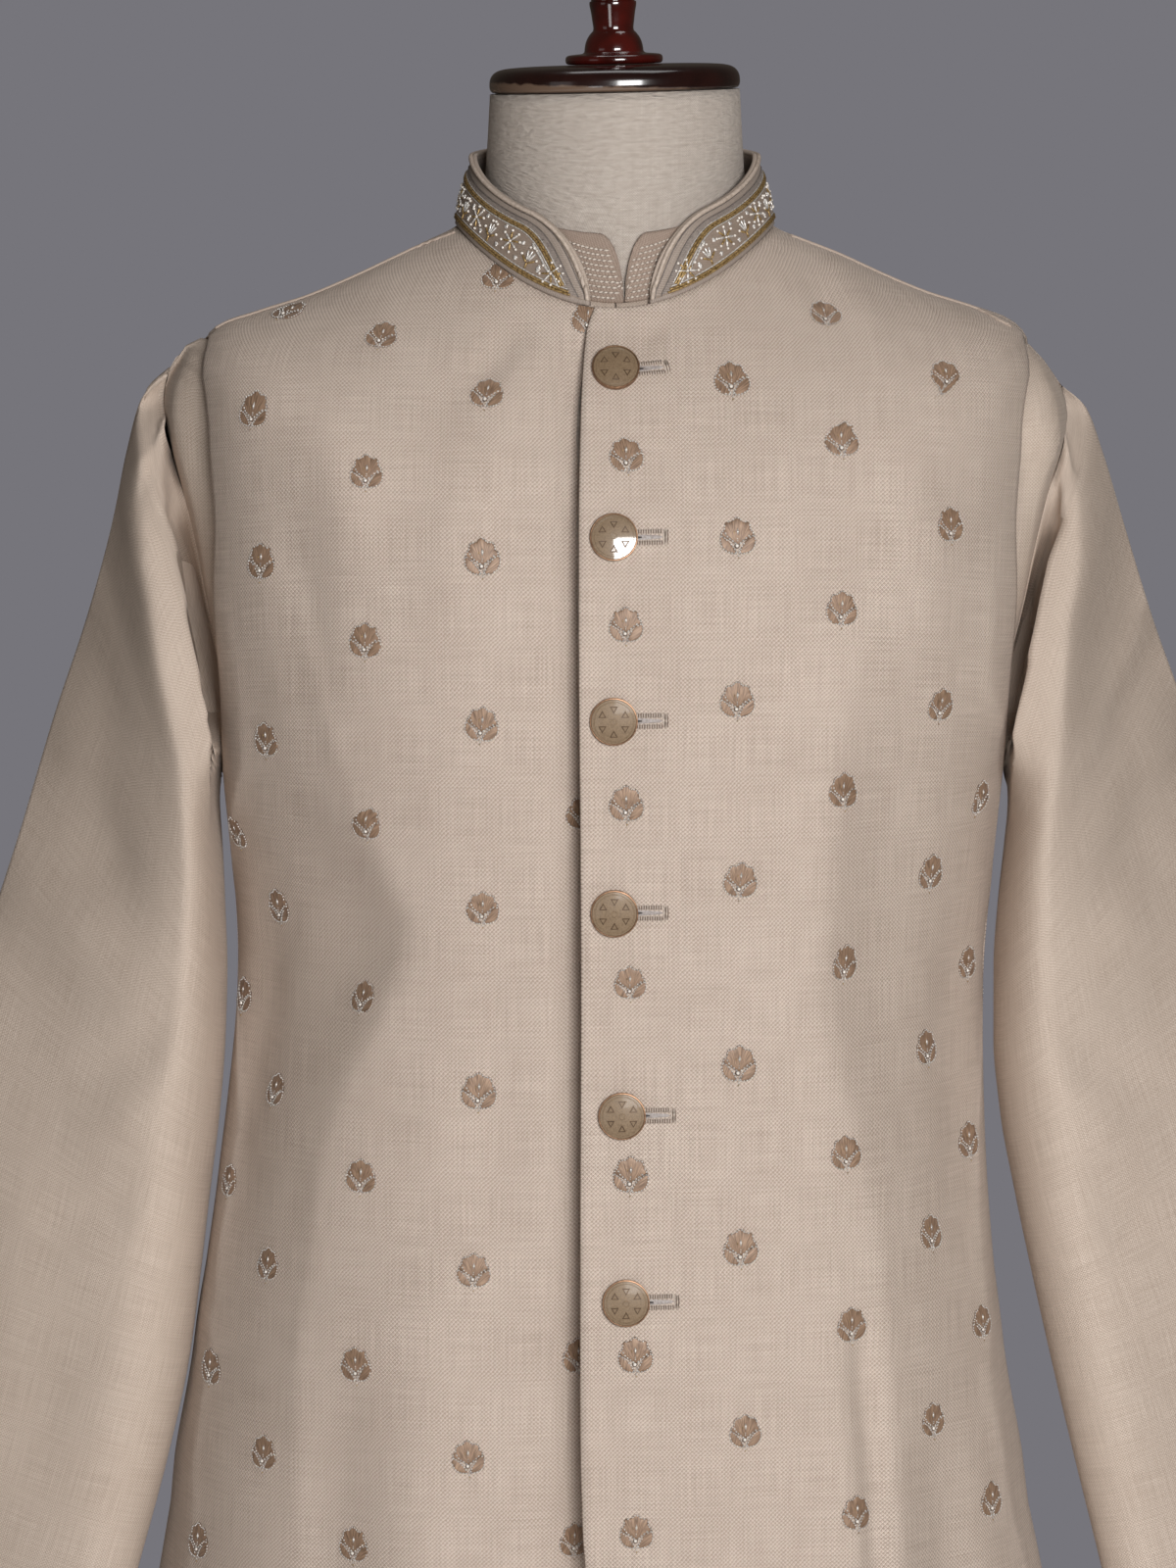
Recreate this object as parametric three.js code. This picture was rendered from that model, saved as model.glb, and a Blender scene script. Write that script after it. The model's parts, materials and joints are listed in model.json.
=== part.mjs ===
// Bandhgala waistcoat set: a long sleeveless waistcoat over a kurta, on a limbless dress form.
// Millimetres, +Z up. The front faces -Y, and +X is the wearer's left, so the viewer's right.
// The origin is on the floor, under the middle of the stand's base.
import * as THREE from 'three';

// ---- Cloth ---------------------------------------------------------------
const CLOTH = 1.4;            // one layer of either garment, with its seams pressed
const SEAM = 0.3;             // gap between pieces that are sewn to each other
const REST = 0.4;             // gap where one layer rests on the next, on the shoulders

// ---- Level sections ------------------------------------------------------
// Every piece of cloth lies on one body surface, a stack of numbered sections.
// front, side, back: height of the section at each of those places
// half, chest, spine: half-width, and depth ahead of and behind the middle
// square: fullness of the corners, where 2 is an ellipse
// kurtaFront, kurtaSide, kurtaCap: how far the kurta's outer face stands off the form at the
//   centre, at the side, and where the dropped shoulder runs into the sleeve
// coatFront, coatSide: the same for the waistcoat
// lean: how far both garments hang towards the wearer's right
const SECTION_COLUMNS = ['front', 'side', 'back', 'half', 'chest', 'spine', 'square',
  'kurtaFront', 'kurtaSide', 'kurtaCap', 'coatFront', 'coatSide', 'lean'];
const SECTION_ROWS = [
  [440, 440, 440, 184, 108, 112, 2.3, 36, 62, 0, 46, 72, 4],          // 0 kurta hem
  [556, 556, 556, 184, 108, 112, 2.3, 30, 48, 0, 38, 57, 5],          // 1
  [672, 672, 672, 184, 108, 112, 2.3, 22, 35, 0, 30, 46, 6],          // 2 waistcoat hem
  [746, 746, 746, 183, 109, 113, 2.3, 17, 28, 0, 26, 38, 7],          // 3
  [800, 800, 800, 182, 110, 114, 2.3, 14, 23, 0, 24, 33, 8],          // 4 foot of the form
  [860, 860, 860, 179, 110, 115, 2.3, 12, 18, 0, 22, 28, 8],          // 5 hip
  [946, 946, 946, 170, 107, 108, 2.3, 11, 17, 0, 21, 27.5, 6],        // 6
  [1046, 1046, 1046, 162, 104, 97, 2.3, 11, 17, 0, 21, 29, 2],        // 7 waist
  [1105, 1105, 1105, 168, 108, 101, 2.3, 9, 15, 0, 19, 26, 1],        // 8
  [1146, 1150, 1148, 176, 112, 107, 2.35, 7, 12, 0, 17, 22, 1],       // 9 underarm
  [1185, 1205, 1190, 187, 116, 112, 2.4, 5, 9, 2, 14, 16, 0],         // 10
  [1222, 1255, 1232, 197, 118, 115, 2.4, 4.2, 7, 6, 12.5, 12, 0],     // 11
  [1256, 1300, 1272, 201, 116, 116, 2.35, 4.2, 5.4, 12, 12, 9.5, 0],  // 12
  [1286, 1337, 1308, 204, 111, 114, 2.3, 5, 5, 17, 11.5, 9.5, 0],     // 13
  [1310, 1362, 1337, 204, 105, 110, 2.3, 4.6, 3.8, 5, 10.5, 8.5, 0],  // 14
  [1328, 1375.5, 1361, 197, 99, 105, 2.25, 2.8, 1.8, 0, 9, 6, 0],     // 15 shoulder tip
  [1344, 1384, 1379, 178, 93, 99, 2.2, 2.2, 1.8, 0, 7.5, 4, 0],       // 16
  [1357, 1392, 1393, 154, 87, 93, 2.15, 2, 1.8, 0, 6.6, 3.6, 0],      // 17
  [1369, 1402, 1405, 130, 81, 87, 2.1, 1.9, 1.8, 0, 5.6, 3.6, 0],     // 18
  [1379, 1412.5, 1417, 108, 76, 81, 2.05, 1.8, 1.8, 0, 4.6, 3.6, 0],  // 19
  [1386, 1421, 1426, 92, 73, 77, 2, 1.8, 1.8, 0, 4, 3.6, 0],          // 20
  [1392, 1429, 1433, 77.5, 70.5, 73, 2, 1.8, 1.8, 0, 3.6, 3.6, 0],    // 21 waistcoat neckline
  [1400, 1438, 1442, 69.5, 67.5, 69, 2, 1.8, 1.8, 0, 3.6, 3.6, 0],    // 22
  [1424, 1450, 1454, 66, 65.5, 66, 2, 1.8, 1.8, 0, 3.6, 3.6, 0],      // 23
  [1462, 1468, 1470, 64.5, 64.5, 64.5, 2, 1.8, 1.8, 0, 3.6, 3.6, 0],  // 24
  [1499, 1499, 1499, 62.8, 62.8, 62.8, 2, 1.8, 1.8, 0, 3.6, 3.6, 0],  // 25 top of the neck
];
const KURTA_HEM = 0;
const COAT_HEM = 2;
const FORM_FOOT = 4;
const COAT_UNDERARM = 9;
const KURTA_UNDERARM = 9.4;
const KURTA_TIP = 13.5;        // where the kurta's shoulder seam ends in the sleeve
const COAT_TIP = 14.8;         // where the waistcoat's shoulder seam ends in the armhole
const NECKLINE = 21;
const KURTA_NECKLINE = 21.5;
const FORM_TOP = 25;

// ---- Angles round the body, in degrees from the front centre -------------
const SIDE = 90;
const SHOULDER_SEAM = 84;      // the seam lies a little forward of the ridge
const FRONT_STEP = 14;         // spacing of the columns of cloth ahead of the shoulder seams
const BACK_STEP = 16;          // and behind them
const EDGE_STEP = 4.5;         // one more column runs this far inside each panel's side edge

// Armhole edges of each garment: section number, then the angle of the front and back edge
const ARMHOLE_COLUMNS = ['at', 'front', 'back'];
const COAT_ARMHOLE = [
  [COAT_UNDERARM, 90, 90], [9.35, 82, 98], [10, 75, 104.5], [11, 70, 108], [12, 68, 109],
  [13, 68.5, 108], [13.5, 70, 106], [14.1, 73.5, 101.5], [14.5, 77, 96],
  [COAT_TIP, SHOULDER_SEAM, SHOULDER_SEAM],
];
const KURTA_ARMHOLE = [
  [KURTA_UNDERARM, 90, 90], [9.8, 84.5, 95.5], [10.4, 80.5, 99.5], [11, 79, 101.5],
  [11.6, 78.5, 102], [12.2, 78.5, 101.5], [12.75, 79.5, 99.5], [13.2, 81.5, 96],
  [KURTA_TIP, SHOULDER_SEAM, SHOULDER_SEAM],
];

// Just outside the waistcoat's armhole the kurta rises into its dropped shoulder
const CAP_START = 1;
const CAP_FULL = 8;

// ---- Front edges of the waistcoat, in mm to the viewer's right of the middle ----
const LAP_COLUMNS = ['at', 'over', 'under'];
const COAT_LAP = [
  [COAT_HEM, 22, 10], [2.25, 0, 22], [2.6, -9, 25], [3, -12, 26], [4, -17, 26], [5, -18, 24],
  [9, -18, 20], [13, -18, 17], [16, -16.5, 16], [19, -14, 15], [NECKLINE, -10, 14],
];
const LAP_LIFT = 2;            // the over-lapping front stands this much proud
const LAP_DIP = 4;             // and the front below it dips by up to this much
const LAP_START = 18;          // past this far from the middle each comes back,
const LAP_RUN = 62;            // over this width, to the common surface
const LAP_STEP = 3;            // the first column inside a front edge, in degrees
const LAP_ROOM = 0.6;          // least room kept between the under-lapping front and the kurta

// ---- Vents: how far the edges stand apart at the hem, in mm --------------
const COAT_VENT_TOP = 3.5;
const COAT_VENT_GAP = 5;
const COAT_VENT_FLARE = 7;     // the front edge also stands out from the back edge,
const COAT_FLARE_START = 50;   // rising from this angle to the side
const KURTA_VENT_TOP = 2;
const KURTA_VENT_GAP = 12;

// ---- Neck slit of the kurta, under the waistcoat -------------------------
const SLIT_FOOT = 13;
const SLIT_GAP = 1.2;
const SLIT_STEP = 4;           // below the slit its column is this wide, in degrees

// ---- Sleeves: edges in the frontal plane, mirrored for the wearer's right ----
// outer, outerZ: upper and outer edge; inner, innerZ: lower and inner edge; outerRight and
// innerRight: the same on the wearer's right, which hangs a little closer; depth: half-depth;
// ahead: how far forward the section's middle lies
const SLEEVE_COLUMNS = ['outer', 'outerRight', 'outerZ', 'inner', 'innerRight', 'innerZ',
  'depth', 'ahead'];
const SLEEVE_ROWS = [
  [217, 217, 1357, 192, 192, 1168, 40, 4],
  [237, 237, 1348, 199, 199, 1154, 47, 3],
  [250, 249, 1318, 201, 201, 1137, 52, 2],
  [264, 260, 1277, 199, 200, 1114, 55, 2],
  [279, 273, 1229, 196, 199, 1086, 56, 3],
  [295, 288, 1180, 194, 198, 1054, 54, 5],
  [310, 303, 1127, 194, 199, 1018, 50, 8],
  [325, 319, 1072, 197.5, 202, 980, 45, 11],
  [339, 334, 1016, 205, 207, 940, 40, 14],
  [353, 348, 958, 214, 212, 898, 35, 17],
  [367, 362, 900, 224, 218, 854, 30, 20],
  [380, 375, 845, 236, 229, 804, 27, 22],
  [393, 388, 792, 249, 243, 752, 25, 24],
  [405, 400, 741, 261, 257, 702, 24, 26],
];
const SLEEVE_BLEND = 4;        // rows over which the armhole's shape turns into an oval
const SLEEVE_SEAM = 1.5 * SEAM; // the slanting seam's gap, measured level

// ---- Collars -------------------------------------------------------------
// half, chest, spine: size of the top edge; front, side, back: its height there
// round: run of the rounded ends; proud: how far the foot stands out past the cloth below it
const COAT_COLLAR = {
  endRight: -11.5, endLeft: 15.5, round: 34, thick: 2.4, proud: 1.2,
  half: 71, chest: 70.5, spine: 72, front: 1433, side: 1467, back: 1472, bulge: 1.2,
};
const KURTA_COLLAR = {
  endRight: 3.4, endLeft: 4.8, round: 24, thick: 1.8, proud: 0.4,
  half: 68.4, chest: 68, spine: 68.6, front: 1429, side: 1454, back: 1460, bulge: 0.3,
};
const COLLAR_ROWS = 3;
const COLLAR_NEAR = [6, 12, 20, 28, 35];   // closer columns for the rounded ends, in degrees
const COLLAR_LIFT = 2 * SEAM;              // the foot's gap above the neckline, measured upright
const COLLAR_END = 0.6;                    // height left at the very end, as run along the foot

// ---- Buttons -------------------------------------------------------------
const BUTTON_RADIUS = 12.3;
const BUTTON_THICK = 3.2;
const BUTTON_EDGE = 0.8;         // size of its rim's bevels
const BUTTON_STAND = 0.6;        // the thread shank holds it this far off the cloth
const BUTTON_COLUMNS = ['x', 'z'];
const BUTTON_ROWS = [[0, 1365], [-1, 1285], [-1, 1196], [-0.6, 1101], [3.2, 1000], [5.2, 907]];

// ---- Stand and cap -------------------------------------------------------
const CAP_TILT = 1.4;          // the neck's top and its cap are set slightly askew, in degrees
const BASE_RADIUS = 170;
const BASE_HEIGHT = 26;
const POLE_RADIUS = 18;
const POLE_FLANGE = 34;
const ROUND_SEGMENTS = 40;
const SMALL_SEGMENTS = 24;       // round the buttons, the pole and the finial

// ---- Colours -------------------------------------------------------------
const SAND = 0xc9b6a6;
const LINEN = 0xcabcaf;
const MAHOGANY = 0x2a0a08;
const OLD_GOLD = 0x8f7352;

const degrees = THREE.MathUtils.degToRad;
const smooth = THREE.MathUtils.smoothstep;
const named = (columns, row) => Object.fromEntries(columns.map((name, i) => [name, row[i]]));
const SECTIONS = SECTION_ROWS.map((row) => named(SECTION_COLUMNS, row));

// Slope at row i that never overshoots: the harmonic mean of the steps beside it
function slope(name, i) {
  const step = (k) => SECTIONS[k + 1][name] - SECTIONS[k][name];
  const before = step(Math.max(i - 1, 0));
  const after = step(Math.min(i, SECTIONS.length - 2));
  return before * after > 0 ? 2 * before * after / (before + after) : 0;
}

// Cubic through the numbered rows, so that sections between them are smooth
function section(v) {
  const i = Math.min(Math.max(Math.floor(v), 0), SECTIONS.length - 2);
  const f = v - i;
  const mixed = {};
  for (const name of SECTION_COLUMNS) {
    const low = SECTIONS[i][name];
    const rise = SECTIONS[i + 1][name] - low;
    const m1 = slope(name, i);
    const m2 = slope(name, i + 1);
    mixed[name] = low + f * (m1 + f * (3 * rise - 2 * m1 - m2 + f * (m1 + m2 - 2 * rise)));
  }
  return mixed;
}

// A named column of a table, straight between its rows
function lookup(table, columns, name, v) {
  const at = columns.indexOf('at');
  const value = columns.indexOf(name);
  for (let i = 1; i < table.length; i += 1) {
    if (v <= table[i][at]) {
      const f = (v - table[i - 1][at]) / (table[i][at] - table[i - 1][at]);
      return THREE.MathUtils.lerp(table[i - 1][value], table[i][value], Math.max(f, 0));
    }
  }
  return table.at(-1)[value];
}

// Point of the body surface at angle t (degrees from the front centre, + towards +X)
function onForm(t, v) {
  const ring = section(v);
  const s = Math.sin(degrees(t));
  const c = Math.cos(degrees(t));
  const k = (Math.abs(s) ** ring.square + Math.abs(c) ** ring.square) ** (-1 / ring.square);
  const depth = c > 0 ? ring.chest : ring.spine;
  const rise = ((c > 0 ? ring.front : ring.back) - ring.side) * (k * c) ** 2;
  const x = ring.half * s * k;
  const askew = x * Math.tan(degrees(CAP_TILT)) * smooth(v, FORM_TOP - 2, FORM_TOP);
  return new THREE.Vector3(x, -depth * c * k, ring.side + rise + askew);
}

function outward(t, v) {
  const top = Math.min(v + 0.05, FORM_TOP);
  const round = onForm(t + 0.5, v).sub(onForm(t - 0.5, v));
  const up = onForm(t, top).sub(onForm(t, top - 0.1));
  return round.cross(up).normalize();
}

// Point that stands off the form, moved with the lean of the garments
function layer(t, v, standOff) {
  const point = onForm(t, v).addScaledVector(outward(t, v), standOff);
  point.x -= section(v).lean;
  return point;
}

function kurtaStand(t, v) {
  const ring = section(v);
  const turn = Math.sin(degrees(t)) ** 2;
  const round = Math.abs(t > 180 ? t - 360 : t);
  const ahead = round - lookup(COAT_ARMHOLE, ARMHOLE_COLUMNS, 'front', v);
  const behind = lookup(COAT_ARMHOLE, ARMHOLE_COLUMNS, 'back', v) - round;
  const cap = ring.kurtaCap * smooth(Math.min(ahead, behind), CAP_START, CAP_FULL);
  return THREE.MathUtils.lerp(ring.kurtaFront, ring.kurtaSide, turn) + cap;
}

function coatStand(t, v) {
  const ring = section(v);
  return THREE.MathUtils.lerp(ring.coatFront, ring.coatSide, Math.sin(degrees(t)) ** 2);
}

// Angle at which the surface lies x to the side of the middle
function angleAt(x, v) {
  const ring = section(v);
  return THREE.MathUtils.radToDeg(Math.asin((x + ring.lean) / (ring.half + ring.coatSide)));
}

// ---- Closed wall of cloth between an outer and an inner grid of points ----
function wall(outer, inner, { tube = false, keep = () => true } = {}) {
  const rows = outer.length;
  const columns = outer[0].length;
  const cells = tube ? columns : columns - 1;
  const positions = [...outer.flat(), ...inner.flat()].flatMap((p) => [p.x, p.y, p.z]);
  const faces = [];
  const at = (side, i, j) => side * rows * columns + i * columns + (j % columns);
  const isKept = (i, j) => {
    const column = tube ? (j + cells) % cells : j;
    return i >= 0 && i < rows - 1 && column >= 0 && column < cells && keep(i, column);
  };
  const quad = (a, b, c, d) => faces.push(a, b, c, a, c, d);
  for (let i = 0; i < rows - 1; i += 1) {
    for (let j = 0; j < cells; j += 1) {
      if (!isKept(i, j)) continue;
      quad(at(0, i, j), at(0, i, j + 1), at(0, i + 1, j + 1), at(0, i + 1, j));
      quad(at(1, i, j), at(1, i + 1, j), at(1, i + 1, j + 1), at(1, i, j + 1));
      if (!isKept(i - 1, j)) quad(at(0, i, j), at(1, i, j), at(1, i, j + 1), at(0, i, j + 1));
      if (!isKept(i + 1, j)) {
        quad(at(0, i + 1, j + 1), at(1, i + 1, j + 1), at(1, i + 1, j), at(0, i + 1, j));
      }
      if (!isKept(i, j - 1)) quad(at(0, i, j), at(0, i + 1, j), at(1, i + 1, j), at(1, i, j));
      if (!isKept(i, j + 1)) {
        quad(at(0, i, j + 1), at(1, i, j + 1), at(1, i + 1, j + 1), at(0, i + 1, j + 1));
      }
    }
  }
  return facingOut(positions, faces);
}

// A geometry whose faces are turned round if they point inwards
function facingOut(positions, faces) {
  let volume = 0;
  const corner = (i) => new THREE.Vector3().fromArray(positions, 3 * i);
  for (let i = 0; i < faces.length; i += 3) {
    volume += corner(faces[i]).dot(corner(faces[i + 1]).cross(corner(faces[i + 2])));
  }
  if (volume < 0) faces.reverse();
  const geometry = new THREE.BufferGeometry();
  geometry.setAttribute('position', new THREE.Float32BufferAttribute(positions, 3));
  geometry.setIndex(faces);
  geometry.computeVertexNormals();
  return geometry;
}

// Grid of a panel: columnsAt gives the angles of one row, standAt how far it stands off
function panel(rows, columnsAt, standAt, options) {
  const outer = rows.map((v) => columnsAt(v).map((t) => layer(t, v, standAt(t, v))));
  const inner = rows.map((v) => columnsAt(v).map((t) => layer(t, v, standAt(t, v) - CLOTH)));
  return wall(outer, inner, options);
}

// Angle taken up at the side by a gap of so many millimetres
function sideAngle(gap, v) {
  const ring = section(v);
  return THREE.MathUtils.radToDeg(gap / (ring.chest + ring.coatFront));
}

// Angles of a panel's side, armhole and shoulder edge, moved back by half a seam or vent
function sideEdges(v, armhole, vent) {
  const open = vent.gap * Math.max(0, (vent.top - v) / (vent.top - vent.hem));
  const back = sideAngle((SEAM + open) / 2, v);
  return {
    front: lookup(armhole, ARMHOLE_COLUMNS, 'front', v) - back,
    back: lookup(armhole, ARMHOLE_COLUMNS, 'back', v) + back,
  };
}

const kurtaVent = { gap: KURTA_VENT_GAP, top: KURTA_VENT_TOP, hem: KURTA_HEM };
const coatVent = { gap: COAT_VENT_GAP, top: COAT_VENT_TOP, hem: COAT_HEM };

// Angles of the columns all round the body, which the form and the collars share
const BODY_ANGLES = [];
for (let t = 0; t < SHOULDER_SEAM; t += FRONT_STEP) BODY_ANGLES.push(t);
for (let t = SHOULDER_SEAM; t < 360 - SHOULDER_SEAM; t += BACK_STEP) BODY_ANGLES.push(t);
for (let t = 360 - SHOULDER_SEAM; t <= 360; t += FRONT_STEP) BODY_ANGLES.push(t);

// Rows shared by everything that rests on the shoulders, so that the layers stay parallel
const SHOULDER_ROWS = [COAT_TIP, 15.5, 16.3, 17.2, 18.1, 19.1, 20.1, NECKLINE];
const TIP_ROWS = [KURTA_TIP, 14.1, 14.5];
const KURTA_ARMHOLE_ROWS = KURTA_ARMHOLE.map((row) => row[0]);
const KURTA_ROWS = [KURTA_HEM, 1, KURTA_VENT_TOP, 3, 4, 5, 6, 7, 8, 8.8,
  ...KURTA_ARMHOLE_ROWS, ...TIP_ROWS.slice(1), ...SHOULDER_ROWS, KURTA_NECKLINE];
const COAT_ROWS = [COAT_HEM, 2.25, 2.6, 3, COAT_VENT_TOP, 4.2, 5, 6, 7, 8,
  ...COAT_ARMHOLE.slice(0, -1).map((row) => row[0]), ...SHOULDER_ROWS];

// A column's angle, drawn after the side edge: fully beside it, hardly at the panel's middle
function drawn(t, middle, edge) {
  const nearness = Math.abs((t - middle) / (SHOULDER_SEAM - middle));
  return t + (edge - SHOULDER_SEAM) * nearness ** 3;
}

// Columns from the front centre to a side edge, with one close inside that edge
function frontColumns(edge, inside) {
  const columns = [];
  for (let t = FRONT_STEP; t < SHOULDER_SEAM; t += FRONT_STEP) columns.push(drawn(t, 0, edge));
  columns.push(Math.min(columns.pop(), inside - EDGE_STEP / 2));
  return [...columns, inside, edge];
}

// Columns of a back, from one side edge round to the other
function backColumns(edge, inside) {
  const columns = [];
  for (let t = SHOULDER_SEAM + BACK_STEP; t <= 180; t += BACK_STEP) columns.push(drawn(t, 180, edge));
  columns[0] = Math.max(columns[0], inside + EDGE_STEP / 2);
  const far = columns.slice(0, -1).map((t) => 360 - t).reverse();
  return [edge, inside, ...columns, ...far, 360 - inside, 360 - edge];
}

// The column beside an edge. Where both garments have an armhole it follows the waistcoat's
function edgeColumn(v, edge, name) {
  const inward = name === 'front' ? -1 : 1;
  const beside = edge + inward * EDGE_STEP;
  if (v < KURTA_UNDERARM || v >= COAT_TIP) return beside;
  const coat = lookup(COAT_ARMHOLE, ARMHOLE_COLUMNS, name, v);
  return inward > 0 ? Math.max(beside, coat) : Math.min(beside, coat);
}

// ---- Kurta ---------------------------------------------------------------
function kurtaFrontColumns(v) {
  const edge = sideEdges(v, KURTA_ARMHOLE, kurtaVent).front;
  const slit = v < SLIT_FOOT ? SLIT_STEP : sideAngle(SLIT_GAP / 2, v);
  const half = frontColumns(edge, edgeColumn(v, edge, 'front'));
  return [...half.map((t) => -t).reverse(), -slit, slit, ...half];
}

function kurtaFront() {
  const slitColumn = SHOULDER_SEAM / FRONT_STEP + 1;
  const keep = (i, j) => j !== slitColumn || KURTA_ROWS[i] < SLIT_FOOT;
  return panel(KURTA_ROWS, kurtaFrontColumns, kurtaStand, { keep });
}

function kurtaBack() {
  const columnsAt = (v) => {
    const edge = sideEdges(v, KURTA_ARMHOLE, kurtaVent).back;
    return backColumns(edge, edgeColumn(v, edge, 'back'));
  };
  return panel(KURTA_ROWS, columnsAt, kurtaStand);
}

// The kurta's armhole as a loop, from the shoulder down the front and up the back
function armholeLoop(side) {
  const down = [...KURTA_ARMHOLE_ROWS].reverse();
  const front = down.map((v) => [lookup(KURTA_ARMHOLE, ARMHOLE_COLUMNS, 'front', v), v]);
  const back = down.slice(1, -1).reverse();
  const rear = back.map((v) => [lookup(KURTA_ARMHOLE, ARMHOLE_COLUMNS, 'back', v), v]);
  return [...front, ...rear].map(([t, v]) => {
    const point = layer(side * t, v, kurtaStand(t, v));
    point.x += side * SLEEVE_SEAM;
    return point;
  });
}

// A sleeve: the armhole's loop turning into oval sections down to the cuff
function sleeve(side) {
  const loop = armholeLoop(side);
  const oval = (row, j) => {
    const turn = 2 * Math.PI * j / loop.length;
    const inner = side > 0 ? row.inner : row.innerRight;
    const outer = side > 0 ? row.outer : row.outerRight;
    const along = 0.5 + 0.5 * Math.cos(turn);
    return new THREE.Vector3(
      side * THREE.MathUtils.lerp(inner, outer, along),
      -row.ahead - row.depth * Math.sin(turn),
      THREE.MathUtils.lerp(row.innerZ, row.outerZ, along),
    );
  };
  const first = named(SLEEVE_COLUMNS, SLEEVE_ROWS[0]);
  const outer = SLEEVE_ROWS.map((values, i) => {
    const row = named(SLEEVE_COLUMNS, values);
    const fade = 1 - smooth(i, 0, SLEEVE_BLEND);
    return loop.map((point, j) => {
      const shape = point.clone().sub(oval(first, j)).multiplyScalar(fade);
      return oval(row, j).add(shape);
    });
  });
  return wall(outer, insetTube(outer, CLOTH), { tube: true });
}

// The grid of a tube moved inwards along its own normals
function insetTube(grid, depth) {
  const rows = grid.length;
  const columns = grid[0].length;
  return grid.map((row, i) => row.map((point, j) => {
    const down = grid[Math.min(i + 1, rows - 1)][j].clone().sub(grid[Math.max(i - 1, 0)][j]);
    const round = row[(j + 1) % columns].clone().sub(row[(j + columns - 1) % columns]);
    const inward = down.cross(round).normalize();
    const middle = row.reduce((sum, p) => sum.add(p), new THREE.Vector3()).divideScalar(columns);
    if (inward.dot(middle.sub(point)) < 0) inward.negate();
    return point.clone().addScaledVector(inward, depth);
  }));
}

// ---- Waistcoat -----------------------------------------------------------
// The two fronts are worked out on +X; the wearer's right one is mirrored afterwards
function coatFront(isOver) {
  const name = isOver ? 'over' : 'under';
  const side = isOver ? 1 : -1;
  const lapEdge = (v) => side * lookup(COAT_LAP, LAP_COLUMNS, name, v);
  const columnsAt = (v) => {
    const edge = sideEdges(v, COAT_ARMHOLE, coatVent).front;
    const lap = side * angleAt(side * lapEdge(v), v);
    const columns = [lap, Math.max(0, lap + LAP_STEP), ...frontColumns(edge, edge - EDGE_STEP)];
    return side > 0 ? columns : columns.map((t) => -t).reverse();
  };
  const standAt = (t, v) => {
    const ring = section(v);
    const x = side * (ring.half * Math.sin(degrees(t)));
    const lap = 1 - smooth(x, LAP_START, LAP_START + LAP_RUN);
    const room = ring.coatFront - ring.kurtaFront - CLOTH - REST;
    const dip = Math.min(LAP_DIP, Math.max(0, room - LAP_ROOM));
    const vent = Math.max(0, (COAT_VENT_TOP - v) / (COAT_VENT_TOP - COAT_HEM));
    const flare = COAT_VENT_FLARE * vent * smooth(Math.abs(t), COAT_FLARE_START, SIDE);
    return coatStand(t, v) + lap * (isOver ? LAP_LIFT : -dip) + flare;
  };
  return panel(COAT_ROWS, columnsAt, standAt);
}

function coatBack() {
  const columnsAt = (v) => {
    const edge = sideEdges(v, COAT_ARMHOLE, coatVent).back;
    return backColumns(edge, edge + EDGE_STEP);
  };
  return panel(COAT_ROWS, columnsAt, coatStand);
}

// ---- Collars -------------------------------------------------------------
// The foot follows the neckline's facets; the top edge is an oval that rises to the back
function collar(shape, neckline, standAt) {
  const start = THREE.MathUtils.radToDeg(Math.asin(shape.endLeft / shape.half));
  const end = 360 + THREE.MathUtils.radToDeg(Math.asin(shape.endRight / shape.half));
  const far = COLLAR_NEAR.map((t) => 360 - t);
  const inside = [...COLLAR_NEAR, ...BODY_ANGLES, ...far].sort((a, b) => a - b);
  const angles = [start, ...inside.filter((t) => t > start + 2 && t < end - 2), end];
  const foot = (t, depth) => {
    const round = t % 360;
    const next = Math.max(1, BODY_ANGLES.findIndex((angle) => angle >= round));
    const [low, high] = [BODY_ANGLES[next - 1], BODY_ANGLES[next]];
    const edge = (angle) => {
      return layer(angle, neckline, standAt(angle, neckline) + shape.proud - depth);
    };
    return edge(low).lerp(edge(high), (round - low) / (high - low));
  };
  const top = (t, depth) => {
    const s = Math.sin(degrees(t));
    const c = Math.cos(degrees(t));
    const reach = (c > 0 ? shape.chest : shape.spine) - depth;
    const height = THREE.MathUtils.lerp(shape.side, c > 0 ? shape.front : shape.back, (c * c) ** 0.6);
    return new THREE.Vector3((shape.half - depth) * s, -reach * c, height);
  };
  // The ends are quarter-rounds: the band grows to its full height over a short run
  const fullness = (t) => {
    const run = shape.half * Math.min(degrees(t - start), degrees(end - t));
    const f = Math.min(1, (run + COLLAR_END) / shape.round);
    return Math.sqrt(1 - (1 - f) ** 2);
  };
  const grid = (depth) => Array.from({ length: COLLAR_ROWS + 1 }, (_, i) => angles.map((t) => {
    const h = i / COLLAR_ROWS;
    const low = foot(t, depth);
    const rise = top(t, depth).sub(low).multiplyScalar(h * fullness(t));
    const lift = new THREE.Vector3(0, 0, COLLAR_LIFT);
    const bulge = new THREE.Vector3(Math.sin(degrees(t)), -Math.cos(degrees(t)), 0);
    bulge.multiplyScalar(shape.bulge * Math.sin(Math.PI * h * fullness(t)));
    return low.add(rise).add(lift).add(bulge);
  }));
  return wall(grid(0), grid(shape.thick));
}

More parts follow.
